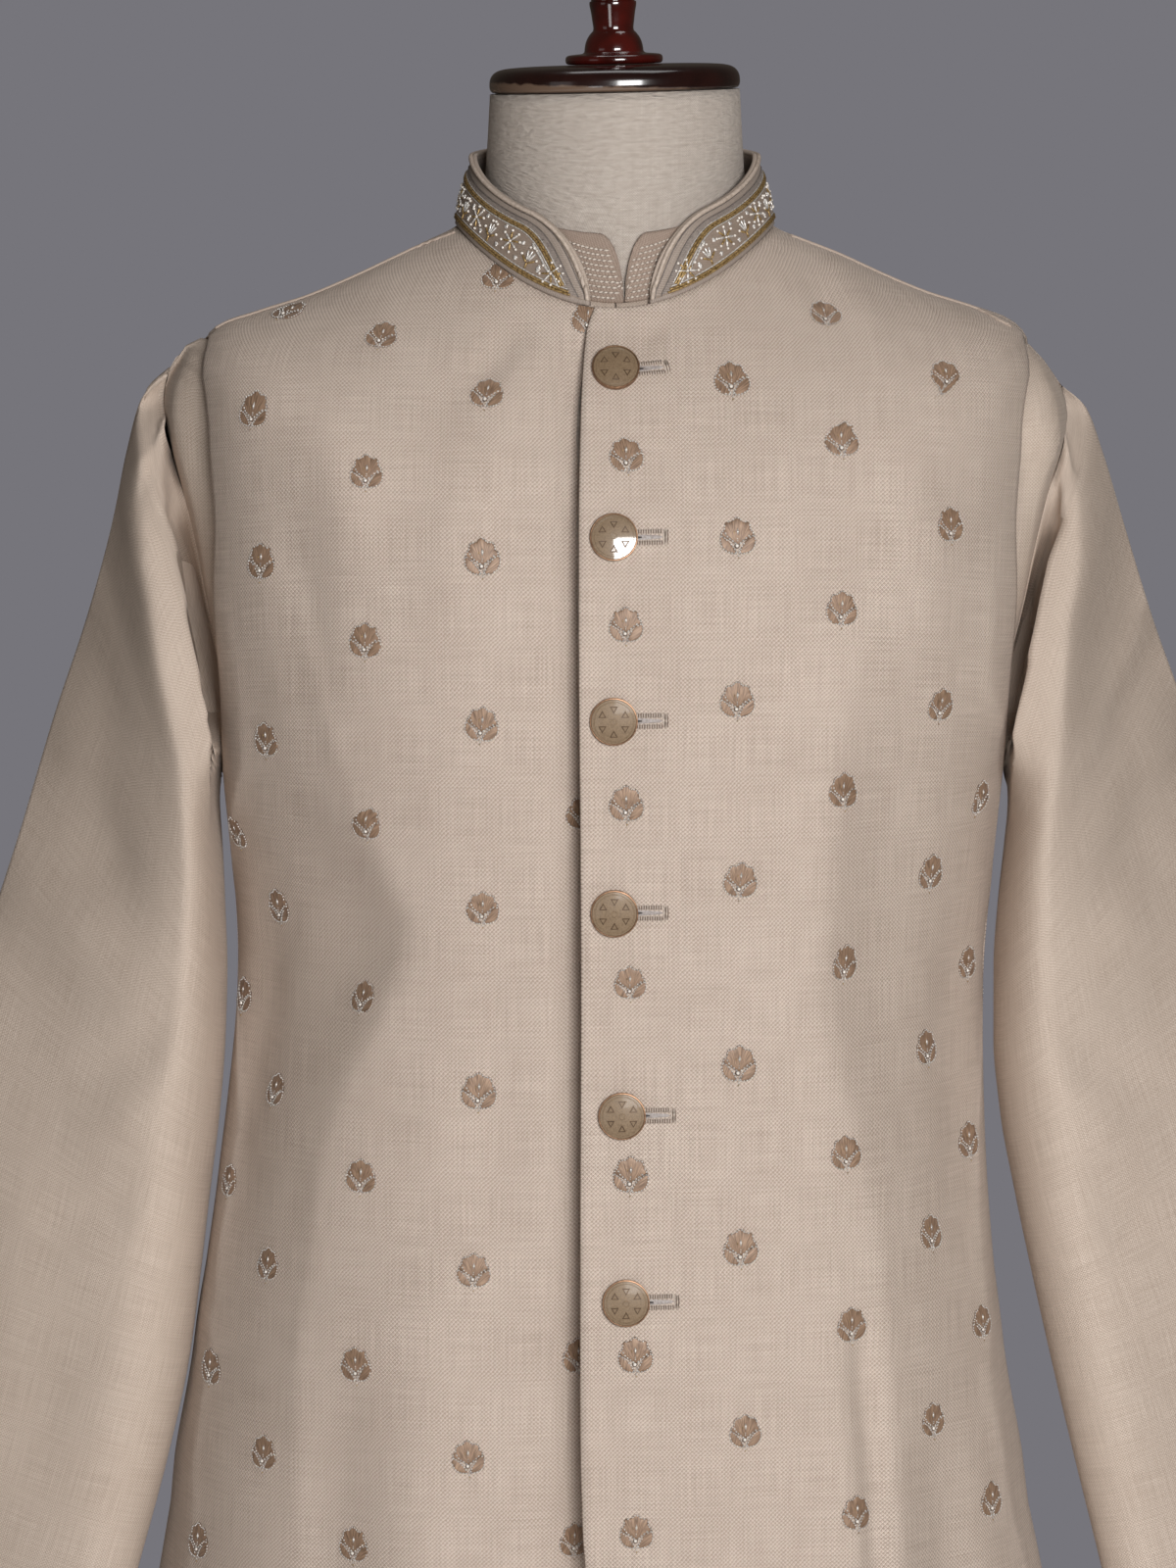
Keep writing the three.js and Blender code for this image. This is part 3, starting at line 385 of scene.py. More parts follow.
class Cloth:
    """A panel of cloth: a grid of points, their normals, and their place on the flat cloth."""

    def __init__(self, points, guide, flat, tube=False, keep=None, lift=None):
        self.tube, self.keep, self.flat = tube, keep, flat
        self.points = points
        self.normals = grid_normals(points, guide, tube)
        if lift is not None:
            self.points = points + self.normals * lift(points, self.normals)[..., None]
            self.normals = grid_normals(self.points, guide, tube)

    def sample(self, i, j):
        """Point and normal at places between the grid's rows and columns."""
        rows, cols = self.points.shape[:2]
        i = np.clip(np.asarray(i, float), 0, rows - 1.001)
        j = np.asarray(j, float) % cols if self.tube else np.clip(j, 0, cols - 1.001)
        i0, j0 = np.floor(i).astype(int), np.floor(j).astype(int)
        fi, fj = (i - i0)[..., None], (j - j0)[..., None]
        i1, j1 = i0 + 1, (j0 + 1) % cols

        def mixed(grid):
            low = grid[i0, j0] * (1 - fj) + grid[i0, j1] * fj
            return low * (1 - fi) + (grid[i1, j0] * (1 - fj) + grid[i1, j1] * fj) * fi

        return mixed(self.points), unit(mixed(self.normals))

    def nearest(self, values, target):
        """Grid place where a pair of values over the grid comes to the target."""
        rows, cols = self.points.shape[:2]
        values = values[:, :cols]
        gap = np.hypot(values[..., 0] - target[0], values[..., 1] - target[1])
        i, j = np.unravel_index(gap.argmin(), gap.shape)
        i, j = min(max(i, 1), rows - 2), min(max(j, 1), cols - 2)
        by_i = (values[i + 1, j] - values[i - 1, j]) / 2
        by_j = (values[i, j + 1] - values[i, j - 1]) / 2
        di, dj = np.linalg.solve(np.stack([by_i, by_j], 1), np.asarray(target) - values[i, j])
        return i + float(np.clip(di, -1, 1)), j + float(np.clip(dj, -1, 1))

    def seen_at(self, place):
        """Grid place that is seen at an x and a z."""
        return self.nearest(self.points[..., ::2], place)

    def pin(self, places, off=0.0):
        """Points and normals on the cloth at places of the flat cloth."""
        shape = np.shape(places)
        at = np.array([self.nearest(self.flat, place) for place in np.reshape(places, (-1, 2))])
        points, normals = self.sample(*at.T)
        return (points + normals * off).reshape(*shape[:-1], 3), normals.reshape(*shape[:-1], 3)

    def axes(self, i, j):
        """Across, up and outward directions at a grid place."""
        _, normal = self.sample(i, j)
        up = unit(np.array([0, 0, 1.0]) - normal * normal[2])
        return np.cross(up, normal), up, normal

    def lay(self, local, i, j, turn=0.0, size=1.0):
        """Points given as across, up and off in mm, laid on the cloth about a grid place."""
        across, up, _ = self.axes(i, j)
        by_j = self.sample(i, j + 0.5)[0] - self.sample(i, j - 0.5)[0]
        by_i = self.sample(i + 0.5, j)[0] - self.sample(i - 0.5, j)[0]
        jacobian = np.array([[by_j @ across, by_i @ across], [by_j @ up, by_i @ up]])
        c, s = math.cos(turn), math.sin(turn)
        a, b = local[:, 0] * size, local[:, 1] * size
        steps = np.linalg.solve(jacobian, np.stack([a * c - b * s, a * s + b * c]))
        points, normals = self.sample(i + steps[1], j + steps[0])
        return points + normals * local[:, 2:] * size


def even_rows(low, high, step, t):
    """Section numbers from low to high, a step apart along the surface at the angle t."""
    fine = np.linspace(low, high, 800)
    run = run_along(on_form(t, fine))
    count = max(2, round(run[-1] / step)) + 1
    return np.interp(np.linspace(0, run[-1], count), run, fine)


def panel_turns(rows, left, right, stand, step, crowd=0.0):
    """Angles of a panel's columns from edge to edge, evenly spaced or crowded to the edges."""
    fine = left[:, None] + (right - left)[:, None] * np.linspace(0, 1, 160)
    run = run_along(layer(fine, rows[:, None], stand(fine, rows[:, None])))
    share = np.linspace(0, 1, math.ceil(run[:, -1].max() / step) + 1)
    share = share - crowd * np.sin(2 * np.pi * share) / (2 * np.pi)
    return np.array([np.interp(share * r[-1], r, f) for r, f in zip(run, fine)])


def flat_places(points, edge=None):
    """Where each point lies on the flat cloth, in mm: across and up.

    Across is counted from the panel's middle, or kept as it is at one edge of its columns.
    """
    across = run_along(points[..., :2])
    start = -across[:, -1] / 2 if edge is None else points[:, edge, 0] - across[:, edge]
    across += start[:, None]
    rise = np.hypot(np.diff(points[..., 1], axis=0), np.diff(points[..., 2], axis=0))
    up = points[:1, :, 2] + np.concatenate([np.zeros((1, points.shape[1])), np.cumsum(rise, 0)])
    return np.stack([across, up], -1)


# ---- Folds ----
# By the face that each is seen on: its width, then across, height and any lift at each of its
# points, in mm. Across is x on the front and the back, and y on the sides. Lift is up where
# positive, and a trough where negative.
FACES = {"front": (0, -1), "back": (0, 1), "left": (1, 0), "right": (-1, 0)}
WAIST_FOLDS = {
    "left": (
        (20, (-60, 1130), (-40, 1060, -5), (-46, 980, -4), (-60, 900)),
        (18, (24, 1130), (40, 1050, -5), (34, 960, -3), (48, 860)),
    ),
    "right": (
        (20, (-60, 1130), (-42, 1060, -5), (-40, 980, -4), (-58, 900)),
        (18, (20, 1120), (36, 1050, -5), (40, 960, -3), (50, 860)),
    ),
    "back": (
        (22, (-150, 1150), (-126, 1070, -7), (-138, 980, -5), (-160, 880)),
        (22, (156, 1150), (130, 1066, -7), (140, 976, -5), (158, 880)),
        (13, (-104, 1130), (-92, 1066, 3), (-104, 990, 2), (-120, 900)),
        (13, (110, 1130), (96, 1060, 3), (106, 984, 2), (122, 900)),
    ),
}
# At the waist each front turns to the side in a flat plane: height, crease where the plane
# starts, its turn in degrees, and the most that it goes in, on the wearer's right then left
WAIST_PLANES = (
    np.array([
        [720, 172, 44, 0], [823, 170, 51, 6], [872, 170, 52, 8], [920, 163, 53, 11],
        [969, 158, 54, 14], [1018, 139, 55, 17], [1042, 126, 55, 18], [1066, 113, 54, 18],
        [1091, 107, 52, 17], [1115, 118, 51, 15], [1164, 144, 46, 9], [1212, 160, 48, 4],
        [1262, 172, 50, 0],
    ]),
    np.array([
        [720, 150, 49, 7], [823, 148, 49, 10], [872, 146, 50, 12], [920, 144, 51, 14],
        [969, 134, 52, 16], [1018, 117, 53, 19], [1042, 112, 54, 20], [1066, 107, 54, 20],
        [1091, 111, 53, 19], [1115, 112, 52, 18], [1164, 114, 48, 14], [1212, 128, 38, 6],
        [1280, 150, 40, 0],
    ]),
)
CREASE_SOFT, CREASE_START = 5, (-12, 6) # roundness of that crease, and where the plane takes over
FOLD_STRENGTH = 2.0         # of the waistcoat's own folds
# The front that lies underneath, and the kurta, dip along the edge of the front that laps over
LAP_FOLDS = {
    "front": (
        (11, (-12, 1392), (-13, 1360, -5), (-14, 1290, -9.5), (-15, 1000, -12), (-16, 690, -12)),
        (18, (-26, 940), (-28, 860, -3), (-30, 690, -4)),
    ),
}
EDGE_FOLDS = {
    "front": (
        (6, (-10, 1385), (-14, 1350, 1.6), (-17, 1200, 2.4), (-16, 1000, 2.4), (-12, 690, 2.6)),
    ),
}
COAT_FOLDS = {
    "front": (
        (16, (-60, 1360), (-76, 1300, 1.4), (-84, 1220)),
        (9, (-34, 1394), (-62, 1366, -1.1), (-96, 1340)),
        (10, (-40, 1396), (-56, 1340, 1), (-62, 1290)),
        (14, (-150, 1352), (-132, 1300, 1.5), (-120, 1240)),
        (12, (-166, 1310), (-152, 1250, -1.6), (-140, 1180)),
        (20, (-52, 1150), (-58, 1010, -1.2), (-56, 860)),
        (22, (-92, 940), (-98, 820, 1.8), (-102, 680, 2)),
        (20, (-136, 900), (-142, 800, -2.4), (-150, 680, -3)),
        (9, (98, 1424), (104, 1400, -1.5), (110, 1372)),
        (10, (112, 1414), (124, 1386, 1.2), (134, 1350)),
        (5, (26, 1396), (16, 1380, -1), (8, 1360)),
        (16, (138, 1350), (148, 1290, 1.5), (156, 1220)),
        (20, (100, 1320), (90, 1250, 1), (80, 1170)),
        (8, (20, 1345), (24, 1322, -0.9), (18, 1300)),
        (8, (18, 1262), (24, 1240, -0.8), (18, 1215)),
        (10, (30, 980), (26, 930, -1.2), (30, 880)),
        (20, (76, 900), (80, 800, -1.6), (88, 680, -2)),
        (18, (122, 860), (128, 780, 2), (138, 680, 2.4)),
        (16, (160, 860), (168, 780, -2.4), (180, 680, -3)),
        (14, (40, 780), (48, 730, 1.4), (60, 680, 1.6)),
        (8, (122, 905), (125, 872, -2.4), (129, 823, -3), (134, 700, -3.4)),
    ),
    "left": (
        (16, (-4, 900), (-8, 800, 2), (-10, 690, 2)),
        (16, (60, 880), (64, 780, -2.4), (66, 690, -3)),
    ),
    "right": (
        (16, (-6, 900), (-4, 800, 2), (-8, 690, 2)),
        (16, (62, 880), (68, 780, -2.4), (70, 690, -3)),
    ),
    "back": (
        (22, (-12, 1310), (-20, 1220, -1.6), (-26, 1120)),
        (24, (44, 1300), (52, 1220, 1.6), (58, 1120)),
        (18, (-96, 1290), (-104, 1210, -2), (-118, 1120)),
        (18, (100, 1280), (112, 1200, -2.2), (126, 1110)),
        (18, (-50, 1110), (-40, 980, -2.6), (-44, 820, -1.6), (-50, 680, -2.4)),
        (18, (40, 1110), (36, 970, -2.6), (44, 820, -1.6), (52, 680, -2.4)),
        (18, (-4, 1060), (2, 940, 2), (0, 800, 1.6), (4, 680, 2.4)),
        (18, (-92, 900), (-96, 800, 2), (-104, 680, 2.6)),
        (18, (94, 900), (98, 800, 2), (108, 680, 2.6)),
        (11, (-48, 1412), (-74, 1384, -1.1), (-104, 1350)),
        (11, (48, 1412), (78, 1382, -1.1), (110, 1346)),
    ),
}
# The kurta's skirt hangs in folds: across at the top and at the hem, then the lift at the hem
KURTA_SKIRT = {
    "front": ((-120, -132, 6), (-72, -66, -6), (-18, -8, 5), (44, 52, -6), (102, 116, 6),
              (158, 176, -5), (-166, -188, -5)),
    "back": ((-150, -166, 6), (-94, -98, -6), (-34, -30, 6), (28, 36, -6), (86, 92, 5),
             (142, 160, -5)),
    "left": ((-34, -42, 5), (38, 44, -5)),
    "right": ((-44, -38, -5), (36, 44, 5)),
}
KURTA_FOLDS = {
    face: [(24, (top, 690), (0.4 * top + 0.6 * hem, 580, 0.7 * lift), (hem, 440, lift))
           for top, hem, lift in rows] for face, rows in KURTA_SKIRT.items()}
KURTA_FOLDS["front"] += [
    (5, (197, 1344), (210, 1340, 3), (219, 1326, 2.5), (222, 1308)),
    (7, (210, 1322), (207, 1308, -4), (205, 1290, -2), (203, 1262)),
    (7, (-206, 1348), (-205, 1322, -3), (-203, 1290, -3), (-201, 1250)),
]
# The sleeves' folds, seen from the front and from behind
SLEEVE_FOLDS = {
    "kurta_sleeve_right": {
        "front": (
            (16, (-262, 1170), (-254, 1116, -3), (-240, 1060)),
            (13, (-214, 1046), (-240, 1020, -2.6), (-276, 1002)),
            (13, (-216, 1010), (-246, 984, 2), (-280, 968)),
            (14, (-222, 962), (-256, 936, -2.4), (-300, 926)),
            (20, (-300, 1010), (-310, 900, 2.4), (-330, 800)),
            (18, (-262, 900), (-290, 830, -2), (-310, 770)),
        ),
        "back": (
            (8, (-222, 1306, -2), (-214, 1250, -10), (-204, 1190, -15), (-194, 1130, -10)),
            (9, (-236, 1310), (-232, 1250, 3), (-222, 1180, 3), (-212, 1110)),
            (14, (-214, 1070), (-244, 1040, -3), (-280, 1022)),
            (13, (-216, 1030), (-250, 1000, 2.4), (-286, 990)),
            (14, (-222, 980), (-260, 956, -3), (-300, 946)),
            (18, (-280, 920), (-300, 840, 2), (-322, 760)),
        ),
        "right": (
            (16, (-6, 1230), (-10, 1150, -2), (-14, 1060)),
            (14, (10, 1120), (4, 1020, 2), (-10, 900)),
        ),
    },
    "kurta_sleeve_left": {
        "front": (
            (14, (274, 1110), (258, 1080, 2), (240, 1060)),
            (13, (214, 1040), (244, 1012, -2.8), (282, 998)),
            (13, (216, 1004), (250, 976, 2), (288, 962)),
            (14, (224, 950), (262, 926, -2.6), (306, 918)),
            (20, (304, 1000), (316, 900, 2.4), (334, 800)),
            (18, (268, 890), (296, 822, -2), (316, 760)),
        ),
        "back": (
            (8, (222, 1306, -2), (214, 1250, -10), (204, 1190, -15), (192, 1130, -10)),
            (9, (236, 1310), (232, 1250, 3), (222, 1180, 3), (212, 1110)),
            (14, (214, 1064), (246, 1034, -3), (284, 1016)),
            (13, (216, 1024), (252, 996, 2.4), (290, 984)),
            (14, (224, 970), (262, 946, -3), (306, 938)),
            (18, (284, 910), (306, 830, 2), (326, 750)),
        ),
        "left": (
            (16, (-6, 1224), (-10, 1146, -2), (-14, 1050)),
            (14, (10, 1116), (4, 1010, 2), (-10, 890)),
        ),
    },
}


def waist_planes(points, share):
    """Points of a front or of what is under it, moved back to the planes at the waist."""
    for side, table in zip((-1, 1), WAIST_PLANES):
        x, y = side * points[..., 0], points[..., 1]
        crease, angle, most = columns_at(table, points[..., 2])
        column = np.abs(x - crease) + 1e3 * (x < 0)
        start = np.take_along_axis(y, column.argmin(1)[:, None], 1)
        plane = start + np.tan(np.radians(angle)) * past(x - crease, CREASE_SOFT)
        cut = np.clip(plane - y, 0, None) * smooth(x - crease, *CREASE_START) * (y < 0)
        points = points.copy()
        points[..., 1] += share * most * np.tanh(cut / np.maximum(most, 0.1))
    return points


@lru_cache(maxsize=None)
def coat_armhole(side):
    """Height and distance from the middle down the edge of the waistcoat's armhole."""
    cloth = panel("waistcoat_front_left" if side > 0 else "waistcoat_front_right")
    edge = cloth.points[:, -1 if side > 0 else 0]
    return edge[:, 2], side * edge[:, 0]


def beside_armhole(points, side):
    """Kurta past the waistcoat's armhole: turned back in front, raised over the sleeve's head."""
    x, y, z = side * points[..., 0], points[..., 1], points[..., 2]
    beyond = past(x - np.interp(z, *coat_armhole(side)) + STRIP_SHOWS, STRIP_SOFT)
    weight = swell(z, STRIP_RISE, STRIP_FALL) * smooth(-y, *STRIP_AHEAD)
    slope = math.tan(math.radians(STRIP_TURN[side]))
    back = STRIP_MOST * np.tanh(beyond * slope / STRIP_MOST) * weight
    head = HEAD_LIFT[side] * swell(x, HEAD_RISE, HEAD_FALL) * smooth(z, *HEAD_UP)
    return points + np.stack([0 * x, back, head], -1)


def fold_lift(rows, share=1.0):
    """How far the folds lift each point of a grid along its normal."""
    def lift(points, normals):
        total = np.zeros(points.shape[:-1])
        for face, (width, *line) in ((face, row) for face in rows for row in rows[face]):
            nx, ny = FACES[face]
            facing = smooth(normals[..., 0] * nx + normals[..., 1] * ny, 0.05, 0.5)
            place = np.stack([points[..., 0 if nx == 0 else 1], points[..., 2]], -1)
            line = np.array([(*point, 0)[:3] for point in line], float)
            nearest, height = np.full(total.shape, np.inf), np.zeros(total.shape)
            for low, high in zip(line, line[1:]):
                step = high[:2] - low[:2]
                s = np.clip((place - low[:2]) @ step / (step @ step), 0, 1)
                gap = np.linalg.norm(place - low[:2] - s[..., None] * step, axis=-1)
                closer = gap < nearest
                nearest = np.where(closer, gap, nearest)
                height = np.where(closer, low[2] + (high[2] - low[2]) * s, height)
            total += share * height * facing * np.exp(-(nearest / width) ** 2)
        return total
    return lift


# ---- Panels ----
@lru_cache(maxsize=None)
def panel(name):
    """The cloth of one flat-cut panel, named as its CAD node."""
    kurta = name.startswith("kurta")
    step = KURTA_STEP if kurta else COAT_STEP
    hem, neck = (KURTA_HEM, KURTA_NECKLINE) if kurta else (COAT_HEM, NECKLINE)
    rows = even_rows(hem, neck, step, 60)
    table, gap, top = ((KURTA_ARMHOLE, KURTA_VENT_GAP, KURTA_VENT_TOP) if kurta
                       else (COAT_ARMHOLE, COAT_VENT_GAP, COAT_VENT_TOP))
    edges = side_edges(rows, table, gap, top, hem)
    stand = kurta_stand if kurta else coat_stand
    keep = None
    if name.endswith("back"):
        turns = panel_turns(rows, edges[1], 360 - edges[1], stand, step, KURTA_CROWD * kurta)
    elif kurta:
        turns = panel_turns(rows, -edges[0], edges[0], stand, step, KURTA_CROWD)
        slit = side_angle(SLIT_GAP / 2, rows)
        count = turns.shape[1] // 2
        share = np.linspace(0, 1, count)
        share = share + SLIT_CROWD * np.sin(np.pi * share) / np.pi
        half = slit[:, None] + (edges[0] - slit)[:, None] * share
        turns = np.concatenate([-half[:, ::-1], half], 1)
        keep = np.ones((len(rows) - 1, turns.shape[1] - 1), bool)
        keep[rows[:-1] >= SLIT_FOOT, count - 1] = False
    else:
        over = name == "waistcoat_front_left"
        ring = section(rows)
        edge = columns_at(COAT_LAP, rows)[0 if over else 1] + ring["lean"]
        edge = np.degrees(np.arcsin(edge / (ring["half"] + ring["coat_side"])))
        stand = partial(front_stand, over=over)
        sides = (edge, edges[0]) if over else (-edges[0], edge)
        turns = panel_turns(rows, *sides, stand, step)
    grid = rows[:, None]
    points = layer(turns, grid, stand(turns, grid))
    flat = flat_places(points, {"waistcoat_front_left": 0, "waistcoat_front_right": -1}.get(name))
    share = UNDER_SHARE if kurta else 1.0
    if "front" in name:
        points = waist_planes(points, share)
    if kurta:
        left, right = (beside_armhole(points, side) for side in (1, -1))
        points = np.where(points[..., :1] > 0, left, right)
    edge_rows = {"kurta_front": LAP_FOLDS, "waistcoat_front_right": LAP_FOLDS,
                 "waistcoat_front_left": EDGE_FOLDS}.get(name, {})
    own = fold_lift(KURTA_FOLDS) if kurta else fold_lift(COAT_FOLDS, FOLD_STRENGTH)
    lifts = (fold_lift(WAIST_FOLDS, share), own, fold_lift(edge_rows))

    def lift(points, normals):
        return sum(each(points, normals) for each in lifts)
    return Cloth(points, outward(turns, grid), flat, keep=keep, lift=lift)


def sleeve_planes(planes, table, seam, points, turn):
    """How far in the sleeve's points lean, and their y once its front falls in planes."""
    x, y, z = np.abs(points[..., 0]), points[..., 1], points[..., 2]
    ridge, ahead, angle, fold, hollow = columns_at(planes, z)
    order = np.argsort(seam[:, 2])
    seam_x, seam_y = (np.interp(z, seam[order, 2], values[order])
                      for values in (np.abs(seam[:, 0]), seam[:, 1]))
    inner_x, middle = (np.interp(z, table[::-1, 3], values[::-1])
                       for values in (table[:, 1], -table[:, 5]))
    soft = RIDGE_SOFT[0] - (RIDGE_SOFT[0] - RIDGE_SOFT[1]) * smooth(z, *RIDGE_RISE)
    plane = -ahead + np.tan(np.radians(angle)) * past(x - ridge, soft)
    gap = np.clip(ridge - x, 0, None)
    facet = -ahead + FACET_DROP * gap / (ridge - fold)
    # the hollow drops at once behind the fold, and comes back up to the seam
    share = np.clip((fold - x) / np.maximum(fold - seam_x, 4), 0, 1)
    dip = smooth(share, 0, 0.25) - 0.2 * smooth(share, 0.25, 0.6) - 0.8 * smooth(share, 0.55, 1)
    floor = (FACET_DROP - ahead) * (1 - share) + seam_y * share + hollow * dip
    pocket = np.where(x > fold, facet, floor)
    bend = np.clip(gap / np.maximum(ridge - inner_x, 4), 0, 1)
    rounded = middle - (middle + ahead) * np.sqrt(1 - bend ** 2)
    upper = smooth(z, *HOLLOW_RISE)
    target = np.where(x > ridge, plane, pocket * upper + rounded * (1 - upper) + plane + ahead)

    # the outer edge runs down in one smooth line
    kernel = np.hanning(OUTLINE_ROWS) / np.hanning(OUTLINE_ROWS).sum()
    line = np.convolve(np.pad(target[:, 0], OUTLINE_ROWS // 2, "edge"), kernel, "valid")
    outwards = np.clip((x - ridge) / np.maximum(x[:, :1] - ridge, 1), 0, 1)
    target = target + (line - target[:, 0])[:, None] * outwards ** 1.6

    degrees = np.degrees(turn)
    lasting = 1 - smooth(z, *PLANES_END)
    weight = smooth(degrees, -1, 6) * smooth(180 - degrees, 0, 15) * (degrees <= 180) * lasting
    behind = smooth(share, 0, 0.12) + 0.7 * swell(share, (0.06, 0.2), (0.3, 0.6))
    lean = np.where(x > fold, np.exp(-((x - fold) / FOLD_WIDTH) ** 2), 1 - behind)
    lean = lean * FOLD_LEAN * weight * np.clip(hollow / FOLD_FULL, 0, 1)
    edge = (target[:, :1] - y[:, :1]) * lasting[:, :1]
    along = 0.5 + 0.5 * np.cos(turn)
    return lean, (y + edge * along) * (1 - weight) + target * weight


@lru_cache(maxsize=None)
def sleeve(name):
    """A sleeve: the armhole's loop turning into oval sections down to the cuff."""
    side = 1 if name == "kurta_sleeve_left" else -1
    step, fine_count = SLEEVE_STEP, 480
    stations = np.arange(ARMHOLE_STEPS + 1)
    down = KURTA_ARMHOLE[::-1, 0]
    q = np.arange(fine_count) * 2 * ARMHOLE_STEPS / fine_count
    behind = q > ARMHOLE_STEPS
    v = np.interp(np.where(behind, 2 * ARMHOLE_STEPS - q, q), stations, down)
    front, back = columns_at(KURTA_ARMHOLE, v)
    t = side * np.where(behind, back, front)
    loop = beside_armhole(layer(t, v, kurta_stand(np.abs(t), v)), side)
    loop[:, 0] += side * 1.5 * SEAM
    columns = (0, 3, 2, 5, 6, 7) if side > 0 else (1, 4, 2, 5, 6, 7)
    table = SLEEVE_ROWS[:, columns]
    turn = np.pi * q / ARMHOLE_STEPS

    def oval(row):
        outer, inner, outer_z, inner_z, depth, ahead = np.moveaxis(row[..., None], -2, 0)
        along = 0.5 + 0.5 * np.cos(turn)
        return np.stack([
            side * (inner + (outer - inner) * along),
            -ahead - depth * np.sin(turn),
            inner_z + (outer_z - inner_z) * along,
        ], -1)

    numbers = np.arange(len(SLEEVE_ROWS))
    fine = np.linspace(0, numbers[-1], 600)
    run = run_along(oval(hermite(numbers, table, fine)).mean(1))
    rows = np.interp(np.linspace(0, run[-1], round(run[-1] / step) + 1), run, fine)
    fade = 1 - smooth(rows, 0, SLEEVE_BLEND)
    shape = loop - oval(table[:1])[0]
    points = oval(hermite(numbers, table, rows)) + fade[:, None, None] * shape
    lean, points[..., 1] = sleeve_planes(SLEEVE_PLANES[name], table, loop[~behind], points, turn)
    points[..., 0] -= side * lean

    count = round(run_along(points[len(rows) // 3])[-1] / step)
    closed = np.concatenate([points, points[:, :1]], 1)
    share = np.arange(count) / count
    points = np.array([places_along(row, share * run_along(row)[-1]) for row in closed])
    guide = points - points.mean(1, keepdims=True)
    down_run = 1 - smooth(np.linspace(0, 1, len(rows)) * len(rows) * step, 0, 14)[:, None]
    folds = fold_lift(SLEEVE_FOLDS[name])

    def lift(points, normals):
        return folds(points, normals) * (1 - down_run)

    across = run_along(np.concatenate([points, points[:, :1]], 1))
    across -= across[:, -1:] / 2
    up = SLEEVE_TOP - step * np.arange(len(rows))
    flat = np.stack(np.broadcast_arrays(across, up[:, None]), -1)
    return Cloth(points, guide, flat, tube=True, lift=lift)


# ---- Collars ----
def collar_ends(shape):
    """Angles of a collar's two ends."""
    start, end = (math.degrees(math.asin(shape[key] / shape["half"])) for key in ("left", "right"))
    return start, 360 + end


def collar_share(shape, t):
    """How much of its full height a collar has: its ends are quarter-rounds."""
    start, end = collar_ends(shape)
    run = shape["half"] * np.radians(np.minimum(t - start, end - t))
    f = np.clip((run + COLLAR_END) / shape["round"], 0, 1)
    return np.sqrt(1 - (1 - f) ** 2)


def collar_point(shape, t, h, depth=0.0):
    """Point of a collar at the angle t and the share h of its height there."""
    t, h = np.broadcast_arrays(np.asarray(t, float), np.asarray(h, float))
    stand = coat_stand if shape is COAT_COLLAR else kurta_stand
    v = shape["neckline"]
    low = layer(t, v, stand(t % 360, np.full(t.shape, float(v))) + shape["proud"] - depth)
    s, c = np.sin(np.radians(t)), np.cos(np.radians(t))
    reach = np.where(c > 0, shape["chest"], shape["spine"]) - depth
    rise = (c * c) ** 0.6
    height = np.where(c > 0, shape["front"], shape["back"])
    height = shape["side"] + (height - shape["side"]) * rise
    top = np.stack([(shape["half"] - depth) * s, -reach * c, height], -1)
    share = (h * collar_share(shape, t))[..., None]
    out = np.stack([s, -c, np.zeros_like(s)], -1)
    points = low + (top - low) * share + out * shape["bulge"] * np.sin(np.pi * share)
    points[..., 2] += COLLAR_LIFT
    return points


@lru_cache(maxsize=None)
def collar(name):
    """The cloth of one standing collar."""
    shape = COAT_COLLAR if name == "waistcoat_collar" else KURTA_COLLAR
    start, end = collar_ends(shape)
    rows, cols = COLLAR_GRID
    share = np.linspace(0, 1, cols)
    t = start + (end - start) * (share - COLLAR_CROWD * np.sin(2 * np.pi * share))
    h = np.linspace(0, 1, rows)
    points = collar_point(shape, t[None], h[:, None])
    guide = np.stack([np.sin(np.radians(t)), -np.cos(np.radians(t)), 0 * t], -1)
    across = run_along(points)
    across -= across[:, -1:] / 2
    up = np.swapaxes(run_along(np.swapaxes(points, 0, 1)), 0, 1)
    flat = np.stack([across, up], -1)
    lift = None
    if name == "waistcoat_collar":
        edge = edge_gap(flat, collar_outline(flat))

        def lift(points, normals):
            return sum(high * np.exp(-((edge - at) / wide) ** 2)
                       for at, wide, high in COLLAR_RELIEF)
    return Cloth(points, guide[None], flat, lift=lift)


def collar_outline(flat):
    """A collar's edge on the flat cloth, from one foot round the top to the other."""
    return np.concatenate([flat[:-1, 0], flat[-1], flat[-2::-1, -1]])


# ---- Meshes ----
def add_object(name, mesh, finishes):
    piece = bpy.data.objects.new(name, mesh)
    bpy.context.scene.collection.objects.link(piece)
    for finish in finishes:
        mesh.materials.append(finish)
    return piece


def mesh_from(name, points, faces, corners=None, slots=None, is_smooth=True):
    """A mesh from points in mm, faces, and a place on the flat cloth for each face corner."""
    mesh = bpy.data.meshes.new(name)
    mesh.from_pydata((points * MM).tolist(), [], faces)
    if corners is not None:
        mesh.uv_layers.new(name="flat_cloth").data.foreach_set("uv", (corners * MM).ravel())
    if slots is not None:
        mesh.polygons.foreach_set("material_index", slots)
    mesh.polygons.foreach_set("use_smooth", [is_smooth] * len(mesh.polygons))
    mesh.validate()
    mesh.update()
    return mesh


def grid_faces(rows, cols, wide, closed, keep=None):
    """Faces of a grid of points, and the same on the flat cloth, which is wide points across."""
    i, j = np.meshgrid(np.arange(rows - 1), np.arange(cols - (not closed)), indexing="ij")
    i, j = (i.ravel(), j.ravel()) if keep is None else (i[keep], j[keep])
    return [np.stack([i * n + j, i * n + (j + 1) % n,
                      (i + 1) * n + (j + 1) % n, (i + 1) * n + j], 1) for n in (cols, wide)]


